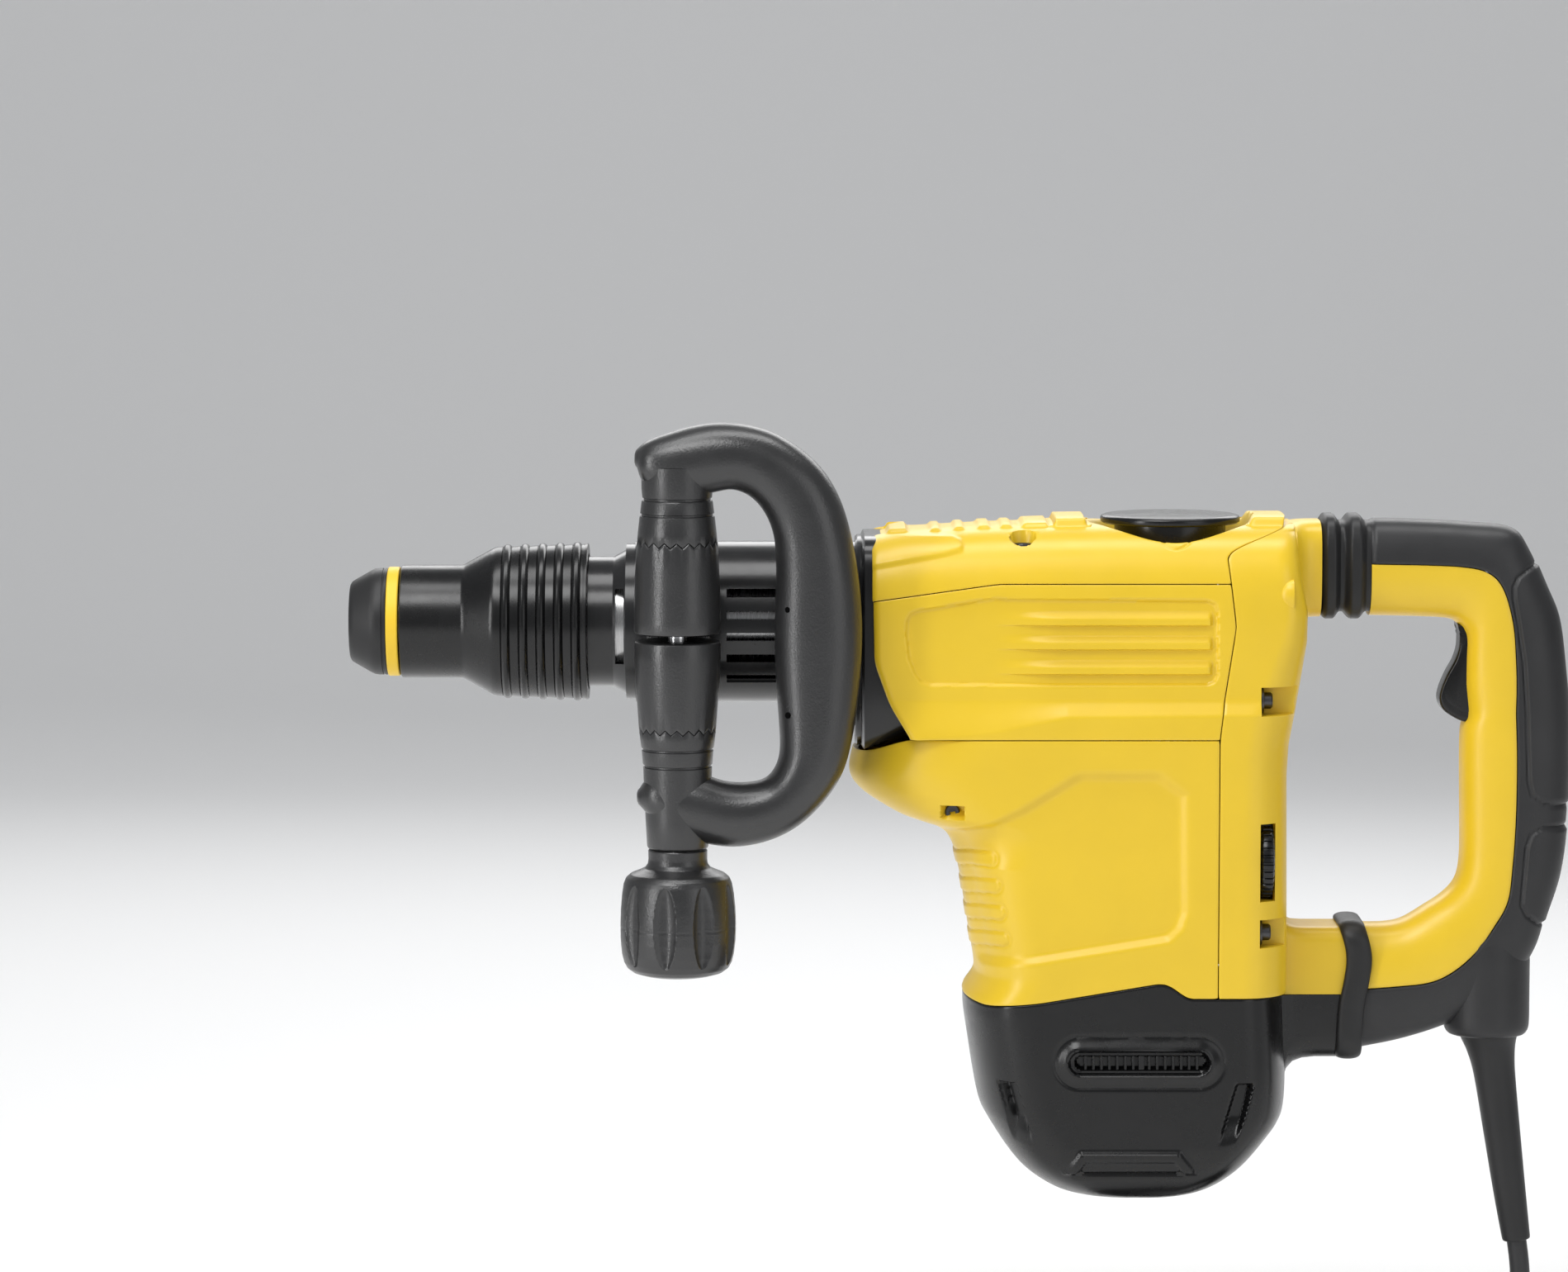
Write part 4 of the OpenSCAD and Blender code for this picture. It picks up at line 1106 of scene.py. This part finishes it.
def make_knob():
    """Clamp knob with nine flutes, one of them towards the front left."""
    turn = [math.radians(-102 + 40 * k) for k in range(9)]
    middle_z, half_length, half_angle = -132, 18.5, math.radians(11.5)
    profile = [(4.35, -98.5), (13.2, -98.5), (13.5, -98.9), (13.4, -103), (13.7, -105),
               (15, -106.8), (18, -108.2), (21.5, -109.6), (23.6, -111.4), (24.7, -114),
               (25.6, -119), (26.2, -125), (26.45, -130), (26.5, -133.6), (26.3, -134),
               (26.5, -134.4), (26.3, -140), (25.6, -146), (24.6, -150), (23.2, -152.6),
               (20.5, -154.6), (16, -155.9), (9, -156.8), (0.01, -157)]

    def flutes(r, s, a):
        lens = np.sqrt(np.clip(1 - ((s - middle_z) / half_length) ** 2, 0, 1))
        for at in turn:
            off = (a - at + np.pi) % (2 * np.pi) - np.pi
            share = np.clip(1 - (off / (half_angle * lens + 1e-6)) ** 2, 0, 1)
            r = r - 2.9 * share**0.8 * lens * (r > 20)
        return r, s

    shape = Shape().turned(even(profile, 150), (*COLUMN, 0), "z", 360, flutes)
    piece("fluted_knob", shape, LOOP, "knob", ["clamp_knob"], sharp=32)


make_knob()


# ---- rear handle ----

HANDLE_X, HANDLE_HALF = 472.6, 19.0
HANDLE = [  # inner side, split between yellow and black, outer side
    ((HANDLE_X, 3.2), (HANDLE_X, 28.2), (HANDLE_X, 47.9)), ((484, 2.9), (485, 28), (486, 47.7)),
    ((496, 2.6), (498, 27.8), (501, 47.2)), ((506, 2.1), (512, 27.4), (519, 46.1)),
    ((512.4, 0.6), (523, 26.3), (538.8, 43.8)), ((517.3, -6), (531.4, 18), (546.6, 34.2)),
    ((517.3, -18), (536.4, 3), (554.8, 16.4)), ((517.2, -30), (539.0, -13), (560.8, 1.4)),
    ((518.4, -43), (540.1, -32), (563.8, -21)), ((516.4, -49.5), (540.6, -48), (565.8, -42)),
    ((516.2, -68), (541, -66), (566.2, -62)), ((516.6, -92), (540.6, -92), (565.5, -92)),
    ((516.6, -110), (539.2, -114), (562.6, -117)),
    ((514.6, -120.5), (536.6, -131), (556.4, -137)),
    ((508.5, -127.6), (528.6, -144.8), (551, -154)),
    ((500, -133.2), (518.6, -157), (538, -172)), ((490, -139.2), (505.6, -165.6), (516, -186)),
    ((481, -141), (488, -168.6), (492, -194.6)),
    ((469.5, -141.1), (469.5, -170.2), (469.5, -199.4))]
PADS = [
    [(550, 27.2), (545, 24.8), (540.4, 21.6), (538.4, 17.4), (538.6, 12), (540.8, -0.4),
     (543.5, -17.7), (545.1, -40.3), (546.4, -73), (548.2, -79.6), (553.5, -83), (575, -85),
     (590, -40), (585, 10), (560, 28)],
    [(575, -94.9), (553, -94.9), (548, -97.4), (545.8, -103.4), (544.1, -125.8), (543.9, -130.6),
     (546.5, -135.4), (552.6, -139.8), (575, -142), (590, -110)]]


def arc(power, low, high):
    """Side of a superellipse from one height to another, both from -1 to 1."""
    ends = [math.acos(-math.copysign(abs(h) ** (power / 2), h)) for h in (low, high)]
    t = np.linspace(*ends, 240)
    c = np.cos(t)
    return np.column_stack([-np.sign(c) * np.abs(c) ** (2 / power),
                            np.abs(np.sin(t)) ** (2 / power)])


def make_handle():
    inner, split, outer = (eased(spline([row[k] for row in HANDLE], 420), 24) for k in range(3))
    black, yellow = [], {-1: [], 1: []}
    for a, seam, b in zip(inner, split, outer):
        reach, middle = (b - a) / 2, (b + a) / 2
        length = np.linalg.norm(reach)
        share = np.dot(seam - middle, reach) / length**2
        low = even(arc(2.7, -1, share - 0.012), 40)
        high = even(arc(2.7, share + 0.006, 1), 76)
        xz = middle + low[:, :1] * reach
        lip = 0.45 * soft((low[:, 0] - share + 0.06) / 0.05)
        y = np.maximum(low[:, 1] * HANDLE_HALF, 0.12) - lip
        for side in yellow:
            yellow[side].append(in_y(np.vstack([xz, xz[-1:]]), side * np.append(y, 0.12)))
        tuck = 0.9 * (1 - soft((middle[0] - HANDLE_X) / 2.4)) * (middle[1] > 0)
        xz = middle + high[:, :1] * reach * (1 + (0.25 - tuck) / length)
        lip = (1 - soft((high[:, 0] - share) / 0.05)) * 0.5
        black.append(mirrored(in_y(xz, lip - high[:, 1] * (HANDLE_HALF + 0.5 - tuck))))
    for side, name in ((-1, "left"), (1, "right")):
        piece(f"grip_shell_{name}", Shape().loft(yellow[side]), YELLOW, "rear_handle",
              [f"handle_{name}_half"], sharp=45)
    grid = array(black)
    raised = 0
    for pad in PADS:
        edge = inside(pad, grid[..., 0], grid[..., 2])
        raised += 0.8 * soft((edge - 0.2) / 1.1) - 0.8 * np.exp(-((edge + 0.6) / 0.75) ** 2)
    grid += outward(grid, array([520, 0, -70])) * raised[..., None]
    piece("grip_skin", Shape().loft(grid), GRIP, "rear_handle", ["grip_overmould"], sharp=45)


make_handle()


def make_bellows():
    front_x, centre = 449.7, [0, 26.1]
    rings = []
    for x in np.linspace(front_x, HANDLE_X - 0.1, 76):
        grow = 0.5
        for at, half in ((453.8, 4.9), (465.4, 5.4)):
            t = abs(x - at) / half
            if t < 1:
                grow = max(grow, 0.5 + 3.3 * float(soft(1.35 - 1.2 * t)) * (1 - t**5))
        rings.append(in_x(egg(17.6 + grow, 20.6 + grow, 3.3, 120) + centre, x))
    rings += [in_x(egg(14.8, 18, 3.3, 120) + centre, x)
              for x in np.linspace(HANDLE_X - 0.1, front_x, 12)]
    shape = Shape().hoop(rings)
    bellows = piece("rubber_bellows", shape, RUBBER, None, ["upper_bellows"], sharp=60)
    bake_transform(bellows)


make_bellows()


def make_strap():
    path = around(rounded((-19.6, -200.2), (19.6, -141.3), 8, 14), 168)
    tangent = np.roll(path, -1, 0) - np.roll(path, 1, 0)
    normal = unit(np.column_stack([tangent[:, 1], -tangent[:, 0]]))
    normal *= np.sign(np.sum(normal * (path - path.mean(0)), 1, keepdims=True))
    bends = [(-205, 463.8), (-188, 464.2), (-176, 465.0), (-166, 467.2), (-156, 468.6),
             (-148, 467.4), (-141, 464.8), (-135, 463.8)]
    shape = band(path, normal, along(bends, path[:, 1], 4), egg(6.0, 2.5, 2.2, 48) + [0, 0.9])
    strap = piece("rubber_strap", shape, RUBBER, None, ["lower_strap"], sharp=60)
    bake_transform(strap)


make_strap()


def make_damper():
    """Spring inside the bellows, which the handle presses together."""
    turns, coil_r, wire_r = 7, 7.5, 1.3
    t = np.linspace(0, 1, 241)
    a = 2 * np.pi * turns * t
    out = np.column_stack([np.zeros_like(a), np.cos(a), np.sin(a)])
    x = 442.7 + 28.2 * np.clip((t - 0.12) / 0.76, 0, 1)  # its end turns lie flat
    line = in_x(coil_r * out[:, 1:] + [0, 16], x)
    side = np.cross(unit(np.gradient(line, axis=0)), out)
    b = circle(14)[:, None]
    rings = [p + wire_r * (np.cos(b) * o + np.sin(b) * s) for p, o, s in zip(line, out, side)]
    spring = piece("damper_spring", Shape().loft(rings), STEEL, None, ["handle_spring"],
                   sharp=60)
    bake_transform(spring)


make_damper()

BOOT_LINE = [  # middle in X and Z, radius
    (531.6, -188, 15.4), (531.7, -194, 13.4), (532.4, -200, 11.4), (533.6, -208, 10.0),
    (535, -218, 9.3), (538, -240, 8.5), (541.9, -268, 7.5), (544.6, -286, 6.75),
    (545.3, -290.4, 6.5), (545.45, -291.3, 6.1), (545.5, -291.5, 5.3)]


def make_gland():
    gland = [(0.01, -193.9), (14.6, -193.9), (17.4, -193.4), (19, -192), (19.8, -189.6), (20, -186),
             (20, -172), (20, -158), (19.6, -150), (18, -144), (14, -140), (0.01, -138)]
    shape = Shape().turned(even(gland, 70), (530, 0, 0), "z", 96)
    piece("gland_housing", shape, GRIP, "rear_handle", ["cord_gland"], sharp=50)
    c, s = egg(1, 1, 2, 72).T
    rings = [np.column_stack([x + r * c, r * s, z + 0.13 * r * c])
             for x, z, r in spline(BOOT_LINE, 110)]
    piece("strain_relief", Shape().loft(rings), RUBBER, "rear_handle", ["cord_boot"],
          sharp=50)


make_gland()

TRIGGER = [(513.6, -0.4), (514.4, -2.6), (514.7, -6), (514.4, -12), (512.6, -17.6), (509.2, -24),
           (506.4, -31), (505.6, -36), (507.2, -40.4), (511.6, -43.8), (516.8, -46.2), (521, -46),
           (524, -42), (524, -3), (519, -0.2)]


def make_trigger():
    line = even(spline(TRIGGER + TRIGGER[:1], 240), 121)[:-1]
    middle = array([518, -22])
    edge = [(5, 0), (6.6, 0.15), (7.5, 0.7), (7.9, 1.5), (8, 2.4)]
    shape = Shape().loft([in_y(line - unit(line - middle) * inset, y)
                          for y, inset in [(-y, inset) for y, inset in edge[::-1]] + edge])
    for side in (-1, 1):
        shape.loft([in_y(middle + (line - middle) * size, side * y)
                    for size, y in ((0.8, 7.6), (0.8, 8.2), (0.8 * 0.93, 8.35))])
    piece("trigger_lever_cap", shape, BLACK, "trigger_lever", ["trigger"], sharp=40)


make_trigger()


# ---- finish of the frame's own parts ----

LOOKS = {
    STEEL: ["cylinder_liner", "drive_bearings", "handle_bracket", "pivot_pin", "tool_spindle",
            "index_ring", "lock_roller_upper", "lock_roller_lower", "sleeve_spring", "clamp_band",
            "rotor_shaft", "crank_gear", "piston", "connecting_rod", "striker", "beat_piece"],
    BRIGHT: ["rear_cover_screws", "clamp_bolt", "plug_pins"],
    LAMINATED: ["stator_core", "armature_core"],
    COPPER: ["field_coils"], COPPER_BAR: ["commutator"], CARBON: ["carbon_brushes"],
    BOARD: ["control_board"], GLOSS: ["barrel_housing", "neck_flange"], CASE: ["gear_case"],
    BLACK: ["brush_bridge", "fan_baffle", "cooling_fan", "switch_body"],
    JACKET: ["power_lead", "lead_coil"]}

for material, nodes in LOOKS.items():
    for node in nodes:
        look(node, material)
